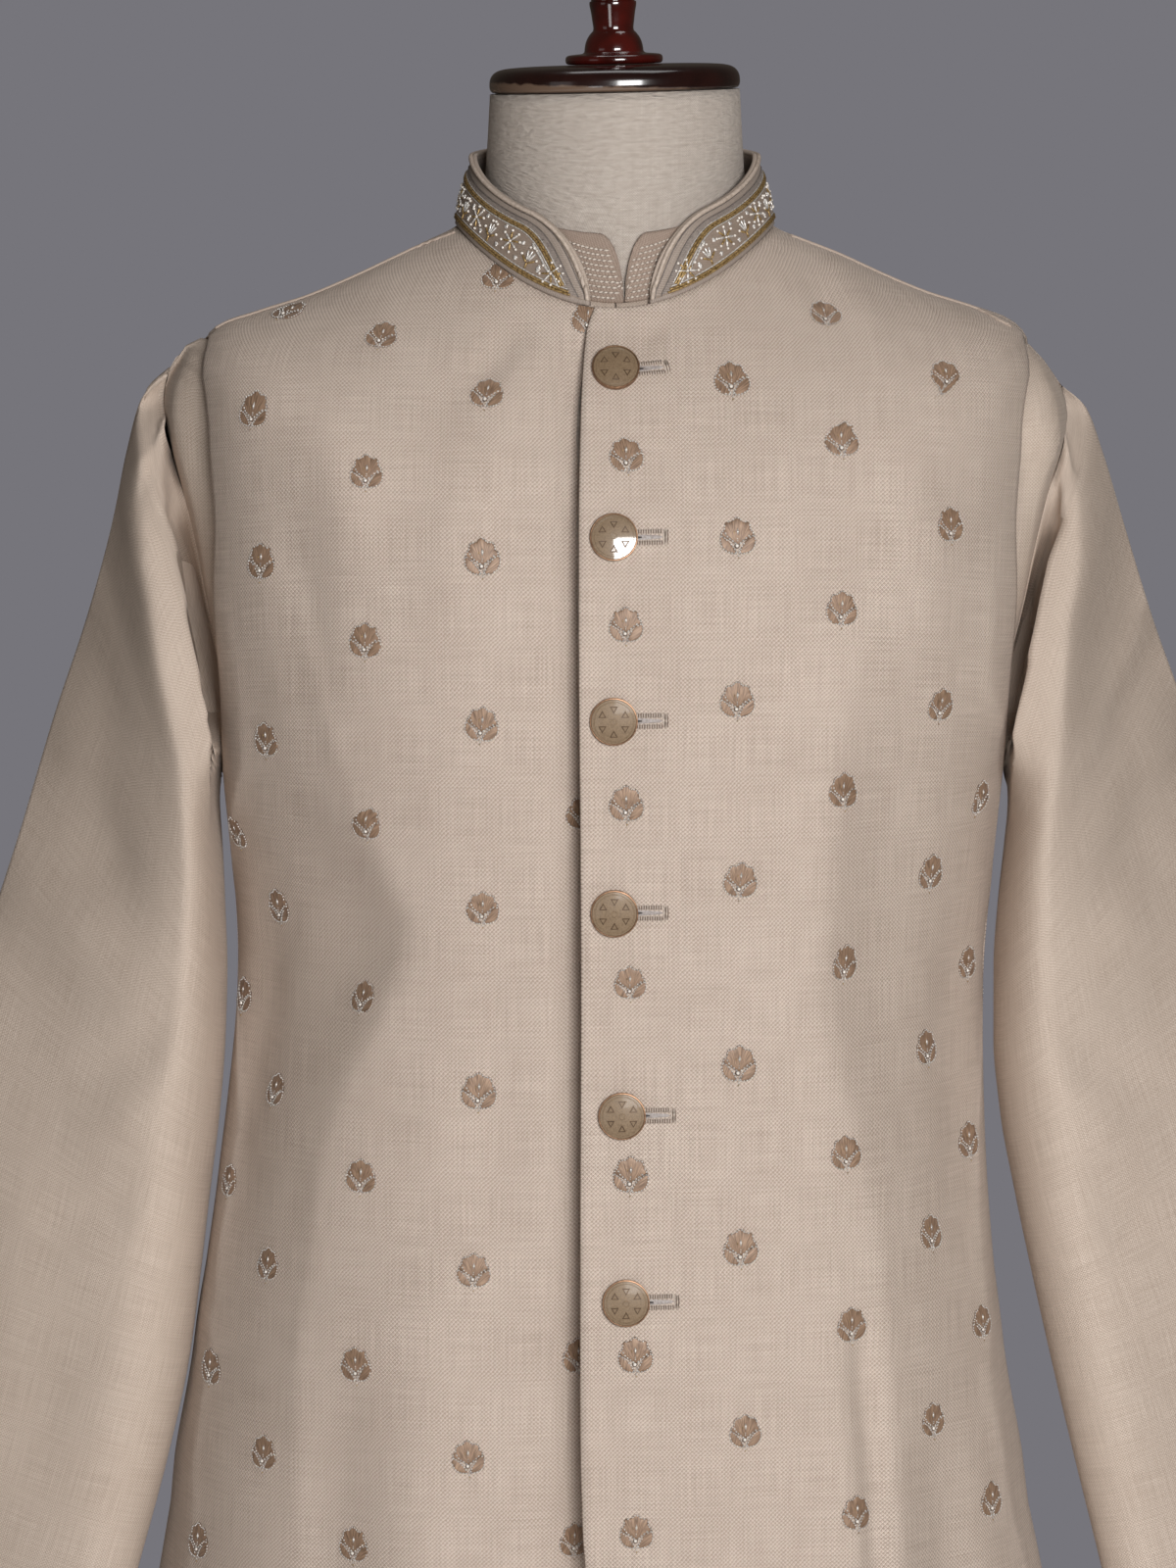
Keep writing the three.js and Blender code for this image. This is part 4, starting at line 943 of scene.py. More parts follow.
def sew(name, cloth, thick, finish):
    """Gives a cloth its thickness, with turned, rounded edges, and makes it an object."""
    rows, cols = cloth.points.shape[:2]
    quads, places = grid_faces(rows, cols, cloth.flat.shape[1], cloth.tube, cloth.keep)
    outer = cloth.points.reshape(-1, 3)
    normals = cloth.normals.reshape(-1, 3)
    a, b, c = (outer[quads[:, k]] for k in range(3))
    if np.sum(np.cross(b - a, c - a) * normals[quads[:, 0]]) < 0:
        quads, places = quads[:, ::-1], places[:, ::-1]
    inner = outer - normals * thick
    count = len(outer)
    starts, ends = quads.ravel(), np.roll(quads, -1, 1).ravel()
    start_places, end_places = places.ravel(), np.roll(places, -1, 1).ravel()
    open_edges = ~np.isin(starts * count + ends, ends * count + starts)
    middles = np.repeat(outer[quads].mean(1), 4, 0)[open_edges]
    starts, ends = starts[open_edges], ends[open_edges]
    start_places, end_places = start_places[open_edges], end_places[open_edges]
    out = np.zeros_like(outer)
    away = (outer[starts] + outer[ends]) / 2 - middles
    np.add.at(out, starts, away)
    np.add.at(out, ends, away)
    rim = np.unique(np.concatenate([starts, ends]))
    out = out[rim] - normals[rim] * np.sum(out[rim] * normals[rim], -1, keepdims=True)
    rim_points = (outer[rim] + inner[rim]) / 2 + unit(out) * thick * EDGE_ROUND
    index = np.full(count, -1)
    index[rim] = 2 * count + np.arange(len(rim))
    upper = np.stack([ends, starts, index[starts], index[ends]], 1)
    lower = np.stack([index[ends], index[starts], starts + count, ends + count], 1)
    rim_places = np.stack([end_places, start_places, start_places, end_places], 1)
    faces = np.concatenate([quads, quads[:, ::-1] + count, upper, lower])
    corners = np.concatenate([places, places[:, ::-1], rim_places, rim_places])
    points = np.concatenate([outer, inner, rim_points])
    used, faces = np.unique(faces, return_inverse=True)
    faces = faces.reshape(-1, 4)
    flat = cloth.flat.reshape(-1, 2)[corners.ravel()]
    return add_object(name, mesh_from(name, points[used], faces.tolist(), flat), [finish])


class Pile:
    """Many small pieces gathered into one mesh, each with the number of its finish."""

    def __init__(self):
        self.points, self.faces, self.slots, self.places, self.count = [], [], [], [], 0

    def add(self, points, faces, slot=0, places=None):
        points = np.asarray(points, float).reshape(-1, 3)
        self.faces.append(np.asarray(faces) + self.count)
        self.slots.append(np.broadcast_to(slot, len(faces)))
        self.points.append(points)
        self.places.append(np.zeros((len(points), 2)) if places is None else places)
        self.count += len(points)

    def scatter(self, shape, places, frames, sizes, slot=0):
        """Copies of one small shape, each with its place, its three axes and its half-sizes."""
        points, faces = shape
        places = np.atleast_2d(places)
        n = len(places)
        sizes = np.broadcast_to(np.asarray(sizes, float), (n, 3))
        frames = np.broadcast_to(frames, (n, 3, 3))
        placed = np.einsum("nk,mk,nka->nma", sizes, points, frames) + places[:, None]
        faces = faces[None] + len(points) * np.arange(n)[:, None, None]
        self.add(placed, faces.reshape(-1, 3), slot)

    def arrays(self):
        return tuple(np.concatenate(part)
                     for part in (self.points, self.faces, self.slots, self.places))

    def make(self, name, finishes):
        points, faces, slots, places = self.arrays()
        mesh = mesh_from(name, points, faces.tolist(), places[faces.ravel()], slots)
        return add_object(name, mesh, finishes)


# ---- Modelling by operators ----
def deselect():
    if bpy.context.object and bpy.context.object.mode != "OBJECT":
        bpy.ops.object.mode_set(mode="OBJECT")
    bpy.ops.object.select_all(action="DESELECT")


def select_faces(piece, test):
    """Selects, in edit mode, the faces of a piece that pass the test."""
    bpy.ops.mesh.select_mode(type="FACE")
    bpy.ops.mesh.select_all(action="DESELECT")
    bpy.ops.object.mode_set(mode="OBJECT")
    for face in piece.data.polygons:
        face.select = test(face)
    bpy.ops.object.mode_set(mode="EDIT")


def finish_by_hand(piece, angle=40):
    """Leaves edit mode and shades the piece smooth up to an angle."""
    if bpy.context.object.mode != "EDIT":
        bpy.ops.object.mode_set(mode="EDIT")
    bpy.ops.mesh.select_all(action="SELECT")
    bpy.ops.mesh.normals_make_consistent(inside=False)
    bpy.ops.object.mode_set(mode="OBJECT")
    bpy.ops.object.shade_smooth_by_angle(angle=math.radians(angle))
    return piece


def turned(name, profile, sides, rows):
    """A turned piece: a disc drawn up and resized from each profile point to the next."""
    deselect()
    profile = np.array(profile, float)
    run = run_along(profile)
    wanted = np.unique(np.concatenate([run, np.linspace(0, run[-1], rows)]))
    profile = hermite(run, profile, wanted).tolist()
    radius, height = profile[0]
    bpy.ops.mesh.primitive_circle_add(
        vertices=sides, radius=radius * MM, fill_type="NGON", location=(0, 0, height * MM))
    piece = bpy.context.object
    piece.name = piece.data.name = name
    bpy.ops.object.transform_apply(location=True, rotation=True, scale=True)
    bpy.ops.object.mode_set(mode="EDIT")
    bpy.ops.mesh.select_mode(type="FACE")
    bpy.ops.mesh.select_all(action="SELECT")
    for (r0, z0), (r1, z1) in zip(profile, profile[1:]):
        bpy.ops.mesh.extrude_region_move(TRANSFORM_OT_translate={"value": (0, 0, (z1 - z0) * MM)})
        bpy.ops.transform.resize(value=(r1 / r0, r1 / r0, 1), center_override=(0, 0, z1 * MM))
    return finish_by_hand(piece, 180)


@lru_cache(maxsize=None)
def small_shape(kind):
    """Points and triangles of a small shape, modelled once: a bead, a pearl or a purl."""
    deselect()
    if kind == "purl":
        bpy.ops.mesh.primitive_cylinder_add(vertices=6, radius=1, depth=1.6)
    else:
        bpy.ops.mesh.primitive_ico_sphere_add(subdivisions=2 if kind == "pearl" else 1, radius=1)
    piece = bpy.context.object
    bpy.ops.object.mode_set(mode="EDIT")
    if kind == "purl":
        for end in (1, -1):
            select_faces(piece, lambda face: face.normal.z * end > 0.9)
            bpy.ops.mesh.extrude_region_move(TRANSFORM_OT_translate={"value": (0, 0, 0.2 * end)})
            bpy.ops.transform.resize(value=(0.55, 0.55, 1), center_override=(0, 0, end))
    bpy.ops.mesh.select_all(action="SELECT")
    bpy.ops.mesh.quads_convert_to_tris()
    bpy.ops.mesh.normals_make_consistent(inside=False)
    bpy.ops.object.mode_set(mode="OBJECT")
    points = np.array([tuple(p.co) for p in piece.data.vertices])
    faces = np.array([tuple(face.vertices) for face in piece.data.polygons])
    mesh = piece.data
    bpy.data.objects.remove(piece)
    bpy.data.meshes.remove(mesh)
    return points, faces


def laid_frames(directions, normals):
    """Axes of purls that lie along the directions: two cross axes, then the length."""
    along = unit(directions)
    beside = unit(np.cross(normals, along))
    return np.stack([beside, np.cross(along, beside), along], -2)


def cord_mesh(path, normals, radius, lobes=0, twist=3.0, sides=6):
    """Points and triangles of a cord along a path; with lobes it is a twist of strands."""
    along = unit(np.gradient(path, axis=0))
    beside = unit(np.cross(normals, along))
    up = np.cross(along, beside)
    turn = np.linspace(0, 2 * np.pi, sides, endpoint=False)
    run = run_along(path)
    wave = 1.0
    if lobes:
        wave = 1 + 0.22 * np.cos(lobes * (turn[None] - 2 * np.pi * run[:, None] / twist / lobes))
    size = (radius * wave) * np.ones((len(path), sides))
    ring = np.cos(turn)[:, None] * beside[:, None] + np.sin(turn)[:, None] * up[:, None]
    points = path[:, None] + ring * size[..., None]
    n = len(path)
    quads = grid_faces(n, sides, sides, True)[0]
    ends = [[row * sides, row * sides + k + 1, row * sides + k][::order]
            for row, order in ((0, 1), (n - 1, -1)) for k in range(1, sides - 1)]
    return points.reshape(-1, 3), np.concatenate([quads[:, [0, 1, 2]], quads[:, [0, 2, 3]], ends])


def thread_shape():
    """A short thread or stitch: eight faces, pointed at both ends of its third axis."""
    points = np.array([[0, 0, 1], [0, 0, -1], [1, 0, 0], [0, 1, 0], [-1, 0, 0], [0, -1, 0.0]])
    k, after = np.arange(2, 6), np.array([3, 4, 5, 2])
    fans = np.stack([0 * k, k, after], 1), np.stack([0 * k + 1, after, k], 1)
    return points, np.concatenate(fans)


def pad_shape(outline, rise, middle):
    """A padded satin shape: rings of its outline drawn in to the middle and raised."""
    steps = ((1.05, 0), (1, 0.5), (0.88, 0.9), (0.55, 1))
    n = len(outline)
    rings = [np.concatenate([middle + (outline - middle) * f, np.full((n, 1), rise * h)], 1)
             for f, h in steps]
    points = np.concatenate([*rings, [[*middle, rise]]])
    k, after = np.arange(n), (np.arange(n) + 1) % n
    faces = [np.stack([0 * k + len(points) - 1, k + 3 * n, after + 3 * n], 1)]
    for low in range(3):
        a, b = k + low * n, after + low * n
        faces += [np.stack([a, b, b + n], 1), np.stack([a, b + n, a + n], 1)]
    return points, np.concatenate(faces)


# ---- Finishes ----
def srgb(*values):
    """A colour of three 0-255 display values as the linear one that nodes take."""
    linear = [v / 255 / 12.92 if v <= 10 else ((v / 255 + 0.055) / 1.055) ** 2.4 for v in values]
    return (*linear, 1.0)


def give(tree, made, inputs):
    """Links each of a node's inputs to a socket, or sets its constant."""
    for key, value in inputs.items():
        if isinstance(value, bpy.types.NodeSocket):
            tree.links.new(value, made.inputs[key])
        else:
            made.inputs[key].default_value = value


def node(tree, kind, inputs=None, **settings):
    made = tree.nodes.new(kind)
    for key, value in settings.items():
        setattr(made, key, value)
    give(tree, made, inputs or {})
    return made


def maths(tree, operation, a, b=0.0, c=0.0, clamp=False):
    made = node(tree, "ShaderNodeMath", {0: a, 1: b, 2: c}, operation=operation, use_clamp=clamp)
    return made.outputs[0]


def mixed(tree, factor, a, b):
    made = node(tree, "ShaderNodeMix", {0: factor, 6: a, 7: b}, data_type="RGBA")
    return made.outputs[2]


def noise(tree, vector, scale, detail=2.0, roughness=0.5):
    """Uneven values from nought to one."""
    made = node(tree, "ShaderNodeTexNoise",
                {"Vector": vector, "Scale": scale, "Detail": detail, "Roughness": roughness})
    return made.outputs["Fac"]


def stretched(tree, vector, x, y, z=1.0):
    return node(tree, "ShaderNodeMapping", {"Vector": vector, "Scale": (x, y, z)}).outputs[0]


def new_group(name, inputs, outputs):
    """An empty node group: its tree, the sockets it is given, and those it fills."""
    tree = bpy.data.node_groups.new(name, "ShaderNodeTree")
    for label, kind, value in inputs:
        socket = tree.interface.new_socket(name=label, in_out="INPUT", socket_type=kind)
        if value is not None:
            socket.default_value = value
    for label, kind in outputs:
        tree.interface.new_socket(name=label, in_out="OUTPUT", socket_type=kind)
    given = tree.nodes.new("NodeGroupInput").outputs
    result = tree.nodes.new("NodeGroupOutput").inputs
    return tree, given, result


FLOAT, COLOR, VECTOR = "NodeSocketFloat", "NodeSocketColor", "NodeSocketVector"


@lru_cache(maxsize=None)
def weave_group():
    """Plain weave of uneven threads: colour, height and roughness."""
    tree, given, result = new_group("thread weave", (
        ("Vector", VECTOR, None), ("Threads", FLOAT, 650.0), ("Slubs", FLOAT, 0.5),
        ("Light Thread", COLOR, (0.6, 0.5, 0.4, 1)), ("Dark Thread", COLOR, (0.5, 0.4, 0.3, 1)),
    ), (("Colour", COLOR), ("Height", FLOAT), ("Roughness", FLOAT)))
    vector = given["Vector"]
    # the threads sway a little
    uneven = noise(tree, stretched(tree, vector, 160, 160), 1.0, 2.0)
    shift = node(tree, "ShaderNodeVectorMath", {0: vector, 1: node(
        tree, "ShaderNodeCombineXYZ", {0: maths(tree, "MULTIPLY", uneven, 0.0012),
                                       1: maths(tree, "MULTIPLY", uneven, -0.0012)}).outputs[0]},
        operation="ADD").outputs[0]
    parts = node(tree, "ShaderNodeSeparateXYZ", {0: shift}).outputs
    rate = maths(tree, "MULTIPLY", given["Threads"], 2 * math.pi)
    warp = maths(tree, "SINE", maths(tree, "MULTIPLY", parts[0], rate))
    weft = maths(tree, "SINE", maths(tree, "MULTIPLY", parts[1], rate))
    check = maths(tree, "MULTIPLY_ADD", maths(tree, "MULTIPLY", warp, weft), 0.5, 0.5)
    # some threads are thicker over a length, both ways
    across = noise(tree, stretched(tree, vector, 34, 1500), 1.0, 1.0)
    upright = noise(tree, stretched(tree, vector, 1500, 30), 1.0, 1.0)
    slub = maths(tree, "ADD", across, upright)
    amount = maths(tree, "MULTIPLY", maths(tree, "SUBTRACT", slub, 1.0), given["Slubs"])
    # fine slanted lines run over the plain weave
    slant = maths(tree, "ADD", maths(tree, "MULTIPLY", parts[0], 2.0),
                  maths(tree, "MULTIPLY", parts[1], -2.0))
    slant = maths(tree, "SINE", maths(tree, "MULTIPLY", slant, rate))
    grain = maths(tree, "MULTIPLY_ADD", slant, 0.3, maths(tree, "MULTIPLY", check, 0.9))
    shade = maths(tree, "ADD", maths(tree, "SUBTRACT", grain, 0.45), amount)
    cloudy = maths(tree, "MULTIPLY_ADD", noise(tree, vector, 22.0, 3.0), 0.24, -0.12)
    shade = maths(tree, "ADD", cloudy, shade)
    factor = maths(tree, "ADD", shade, 0.5, clamp=True)
    colour = mixed(tree, factor, given["Dark Thread"], given["Light Thread"])
    tree.links.new(colour, result["Colour"])
    height = maths(tree, "MULTIPLY_ADD", amount, 0.6, grain)
    tree.links.new(height, result["Height"])
    tree.links.new(maths(tree, "MULTIPLY_ADD", factor, -0.12, 0.72), result["Roughness"])
    return tree


@lru_cache(maxsize=None)
def mottle_group():
    """Small uneven differences of colour and polish on thread, metal and lacquer."""
    tree, given, result = new_group("mottle", (
        ("Vector", VECTOR, None), ("Scale", FLOAT, 900.0),
        ("Light", COLOR, (0.8, 0.8, 0.8, 1)), ("Dark", COLOR, (0.5, 0.5, 0.5, 1)),
        ("Polish", FLOAT, 0.3), ("Change", FLOAT, 0.1),
    ), (("Colour", COLOR), ("Roughness", FLOAT)))
    uneven = noise(tree, given["Vector"], given["Scale"])
    spread = maths(tree, "MULTIPLY_ADD", uneven, 2.0, -0.5, clamp=True)
    tree.links.new(mixed(tree, spread, given["Dark"], given["Light"]), result["Colour"])
    rough = maths(tree, "MULTIPLY", maths(tree, "SUBTRACT", spread, 0.5), given["Change"])
    tree.links.new(maths(tree, "ADD", rough, given["Polish"]), result["Roughness"])
    return tree


def new_material(name):
    """A material with only its Principled shader, which is given back with the tree."""
    material = bpy.data.materials.new(name)
    material.use_nodes = True
    tree = material.node_tree
    return material, tree, tree.nodes["Principled BSDF"]


def flat_material(name):
    """A material, its tree and shader, and the place on the flat cloth in metres."""
    material, tree, shader = new_material(name)
    return material, tree, shader, node(tree, "ShaderNodeUVMap", uv_map="flat_cloth").outputs[0]


def weave(tree, vector, threads, slubs, light, dark):
    """Outputs of the thread weave; threads is the number in a metre."""
    return node(tree, "ShaderNodeGroup", {
        "Vector": vector, "Threads": threads, "Slubs": slubs, "Light Thread": light,
        "Dark Thread": dark}, node_tree=weave_group()).outputs


def relief(tree, strength, distance, height):
    """Normal of a surface raised by a height; the distance is in metres."""
    return node(tree, "ShaderNodeBump", {
        "Strength": strength, "Distance": distance, "Height": height}).outputs[0]


@lru_cache(maxsize=None)
def cloth_finish(name, light, dark, threads=470.0, slubs=0.6, bump=0.6):
    """Silk of two threads, one lighter than the other."""
    material, tree, shader, vector = flat_material(name)
    woven = weave(tree, vector, threads, slubs, light, dark)
    give(tree, shader, {
        "Base Color": woven["Colour"], "Roughness": woven["Roughness"],
        "Normal": relief(tree, bump, 0.0004, woven["Height"]),
        "Metallic": 0.2, "Sheen Weight": 0.05, "Sheen Roughness": 0.35})
    return material


def worn_below(tree, vector, height):
    """Mask of wear that starts below a height, in metres, along the tilted cap."""
    parts = node(tree, "ShaderNodeSeparateXYZ", {0: vector}).outputs
    level = maths(tree, "MULTIPLY_ADD", parts[0], math.tan(math.radians(CAP_TILT)), parts[2])
    uneven = maths(tree, "MULTIPLY_ADD", noise(tree, vector, 160.0, 3.0), 0.003, -0.0015)
    gap = maths(tree, "SUBTRACT", height, maths(tree, "ADD", level, uneven))
    return maths(tree, "MULTIPLY", gap, 900.0, clamp=True)


def mottled_finish(name, light, dark, polish, change, scale, metallic=0.0, coat=0.0,
                   coat_ior=1.5, worn=None):
    """Finish of a small thing, uneven by its place on the object."""
    material, tree, shader = new_material(name)
    vector = node(tree, "ShaderNodeTexCoord").outputs["Object"]
    mottle = node(tree, "ShaderNodeGroup", {
        "Vector": vector, "Scale": scale, "Light": light, "Dark": dark, "Polish": polish,
        "Change": change}, node_tree=mottle_group()).outputs
    colour = mottle["Colour"]
    if worn:
        # paler below a height, where handling has rubbed the lacquer
        colour = mixed(tree, worn_below(tree, vector, worn[0]), colour, worn[1])
    give(tree, shader, {
        "Base Color": colour, "Roughness": mottle["Roughness"], "Metallic": metallic,
        "Coat Weight": coat, "Coat Roughness": 0.08, "Coat IOR": coat_ior})
    return material


# Threads, beads, metal and lacquer: the light and the dark colour, the roughness, how much that
# changes, how finely it changes, then the share of metal and of clear coat, and the coat's
# refractive index
SMALL_FINISHES = {
    "silver purl": ((240, 236, 230), (186, 180, 176), 0.28, 0.3, 900, 0.4),
    "gold purl": ((194, 164, 112), (122, 96, 58), 0.32, 0.4, 900, 0.5),
    "seed pearl": ((240, 234, 226), (214, 204, 194), 0.25, 0.1, 500, 0, 0.6),
    "outline thread": ((120, 100, 84), (72, 58, 48), 0.5, 0.3, 900),
    "speckle thread": ((128, 118, 112), (78, 70, 64), 0.5, 0.3, 900),
    "collar piping": ((202, 186, 172), (160, 144, 130), 0.55, 0.3, 700),
    "stitching thread": ((232, 220, 208), (188, 174, 162), 0.4, 0.2, 900),
    "buttonhole slit": ((176, 168, 164), (126, 114, 108), 0.5, 0.2, 900),
    "buttonhole thread, brown": ((138, 116, 100), (96, 78, 66), 0.5, 0.2, 900),
    # painted shade: dark stitches set in the gaps between the buttonholes' light stitches
    "buttonhole shadow": ((58, 50, 46), (36, 30, 28), 0.6, 0.2, 900),
    "button rim, copper gilt": ((160, 126, 98), (108, 78, 56), 0.36, 0.1, 700, 0.7),
    "button engraving, dark gilt": ((94, 70, 48), (60, 42, 28), 0.45, 0.3, 1400, 0.3),
    "button face, bright gilt": ((140, 118, 92), (108, 87, 64), 0.5, 0.3, 1400, 0.1, 1, 1.7),
    "button face, dull gilt": ((140, 118, 92), (108, 87, 64), 0.5, 0.3, 1400, 0.1, 0.07, 1.7),
    "lacquered mahogany, dark": ((36, 14, 11), (20, 7, 6), 0.14, 0.06, 60, 0, 1),
    "lacquered mahogany, rubbed rim": ((36, 14, 11), (20, 7, 6), 0.22, 0.06, 60, 0, 0.6),
    "lacquered mahogany, red": ((76, 16, 11), (34, 7, 5), 0.14, 0.06, 60, 0, 1),
}


@lru_cache(maxsize=None)
def small_finish(name, worn=None):
    """One of the finishes above; worn gives a height and the colour below it."""
    light, dark, *rest = SMALL_FINISHES[name]
    return mottled_finish(name, srgb(*light), srgb(*dark), *rest, worn=worn)


@lru_cache(maxsize=None)
def linen_finish(name, light, dark):
    """Crepe linen of the form: fine, wavy, level crinkles, with painted shade in their valleys."""
    material, tree, shader, vector = flat_material(name)
    woven = weave(tree, vector, 800.0, 0.7, light, dark)
    sway = noise(tree, stretched(tree, vector, 120, 260), 1.0, 2.0)
    crinkle = noise(tree, stretched(tree, vector, 170, 520), 1.0, 3.0, 0.6)
    height = maths(tree, "MULTIPLY_ADD", crinkle, 2.6, maths(tree, "MULTIPLY", sway, 1.2))
    height = maths(tree, "MULTIPLY_ADD", woven["Height"], 0.25, height)
    # the crinkles' low parts take the dark thread's colour: painted shade in the creases
    painted_crinkle_shade = maths(tree, "MULTIPLY_ADD", crinkle, 2.6, -0.62, clamp=True)
    give(tree, shader, {
        "Base Color": mixed(tree, painted_crinkle_shade, dark, woven["Colour"]),
        "Normal": relief(tree, 0.85, 0.0009, height),
        "Roughness": 0.85, "Sheen Weight": 0.1, "Specular IOR Level": 0.2})
    return material


@lru_cache(maxsize=None)
def satin_finish(name, light, dark):
    """Satin stitch: fine glossy threads side by side."""
    material, tree, shader, vector = flat_material(name)
    fine = noise(tree, stretched(tree, vector, 2100, 160), 1.0, 1.0)
    broad = noise(tree, stretched(tree, vector, 500, 140), 1.0, 2.0)
    factor = maths(tree, "MULTIPLY_ADD", fine, 3.0, -1.0, clamp=True)
    broad = maths(tree, "SUBTRACT", broad, 0.5)
    factor = maths(tree, "MULTIPLY_ADD", broad, 0.8, factor, clamp=True)
    give(tree, shader, {
        "Base Color": mixed(tree, factor, dark, light), "Normal": relief(tree, 0.7, 0.0002, fine),
        "Roughness": 0.48, "Metallic": 0.12, "Sheen Weight": 0.05})
    return material


@lru_cache(maxsize=None)
def collar_finish():
    """The collar's cloth: piping, band, speckled band, field and fold, by the gap to its edge."""
    material, tree, shader, vector = flat_material("collar cloth")
    apart = node(tree, "ShaderNodeSeparateXYZ", {0: vector}).outputs["Y"]
    place = maths(tree, "MULTIPLY", apart, -1000 / COLLAR_FOLD_CODE, clamp=True)
    colours = []
    for stops in COLLAR_COLOURS:
        ramp = node(tree, "ShaderNodeValToRGB", {0: place})
        ramp.color_ramp.interpolation = "CONSTANT"
        for number, (start, values) in enumerate(stops):
            if number > 1:
                ramp.color_ramp.elements.new(start / COLLAR_FOLD_CODE)
            element = ramp.color_ramp.elements[number]
            element.position, element.color = start / COLLAR_FOLD_CODE, srgb(*values)
        colours.append(ramp.outputs[0])
    woven = weave(tree, vector, 1000.0, 0.5, *colours)
    give(tree, shader, {
        "Base Color": woven["Colour"], "Roughness": woven["Roughness"],
        "Normal": relief(tree, 0.3, 0.0003, woven["Height"]),
        "Metallic": 0.15, "Sheen Weight": 0.05})
    return material


# ---- Embroidery ----
# Sprigs in columns down each panel: where the column lies across at its top and foot, in mm
# on the flat cloth, then the height of each sprig in it
SPRIG_COLUMNS = {
    "waistcoat_front_left": (
        (2, 12, 1407, 1326, 1245, 1156, 1067, 973, 881, 792, 703),
        (56, 67, 1365, 1286, 1206, 1117, 1025, 933, 841, 749),
        (110, 122, 1403, 1334, 1251, 1161, 1071, 978, 890, 797, 705),
        (171, 170, 1370, 1295, 1204, 1113, 1022, 931, 837, 746),
        (206, 216, 1148, 1059, 971, 879, 789, 698),
    ),
    "waistcoat_front_right": (
        (-14, -21, 1401, 1150, 877, 784),
        (-62, -74, 1424, 1358, 1276, 1194, 1102, 1013, 921, 828, 736),
        (-121, -134, 1392, 1317, 1235, 1143, 1056, 966, 873, 780, 688),
        (-187, -184, 1413, 1352, 1276, 1186, 1093, 1002, 915, 821, 729),
        (-219, -238, 1127, 1041, 950, 858, 765, 694),
    ),
    "waistcoat_back": tuple(
        (u, 1.06 * u, *range(w, 680, -91)) for u, w in (
            (-232, 1130), (-174, 1352), (-116, 1398), (-58, 1352), (0, 1398), (58, 1352),
            (116, 1398), (174, 1352), (232, 1130))),
}
SPRIG_TOP, SPRIG_RUN = 1410, 710    # height of a column's top, and down to its foot, in mm
SPRIG_KINDS = 6
# One sprig, in mm from its middle: the bud's lobes (angle, reach) and how round they are, and
# each leaf's side, width, root, tip, and the way its satin threads run
SPRIG_LOBES = ((43, 9.8), (66, 12.0), (90, 13.0), (113, 12.0), (137, 9.8))
LOBE_ROUND = 0.0009
SPRIG_BASE = np.array([0.0, -4.2])
SPRIG_LEAVES = (
    (-1, 2.1, (-0.7, -8.0), (-8.0, 0.6), (0.35, 0.94)),
    (1, 2.5, (0.7, -8.0), (8.0, 0.6), (0.82, 0.57)),
)
# Lines of purl: the line, the length of one purl, its slot and its thickness
SPRIG_PURLS = (
    (((-0.4, -3.6), (-3.2, -1.4), (-5.2, 0.2), (-5.9, 2.4)), 1.7, 1, 0.55),
    (((0.6, -3.6), (3.4, -1.2), (6.2, 0.8)), 1.7, 1, 0.55),
    (((0.15, 4.6), (0.45, 2.2), (0.1, 0.2)), 4.6, 1, 0.7),
    (((-1.6, 3.2), (-1.3, 1.0)), 2.2, 2, 0.25),
    (((0.1, -0.4), (-0.1, -2.4)), 1.0, 1, 0.4),
    (((0.5, -5.8), (0.5, -7.2), (0.1, -8.4), (0.1, -9.6)), 1.2, 1, 0.42),
    (((0.1, -9.5), (0.0, -10.8)), 1.3, 2, 0.4),
)
EDGE_PURL, EDGE_PURLS_KEPT = 1.45, 0.9  # length of the purls round the edges; some are missing


def walls(faces, rim):
    """The finish of each face of a padded shape: dark on the walls round its rim."""
    return np.where((faces < rim).any(1), 3, 0)


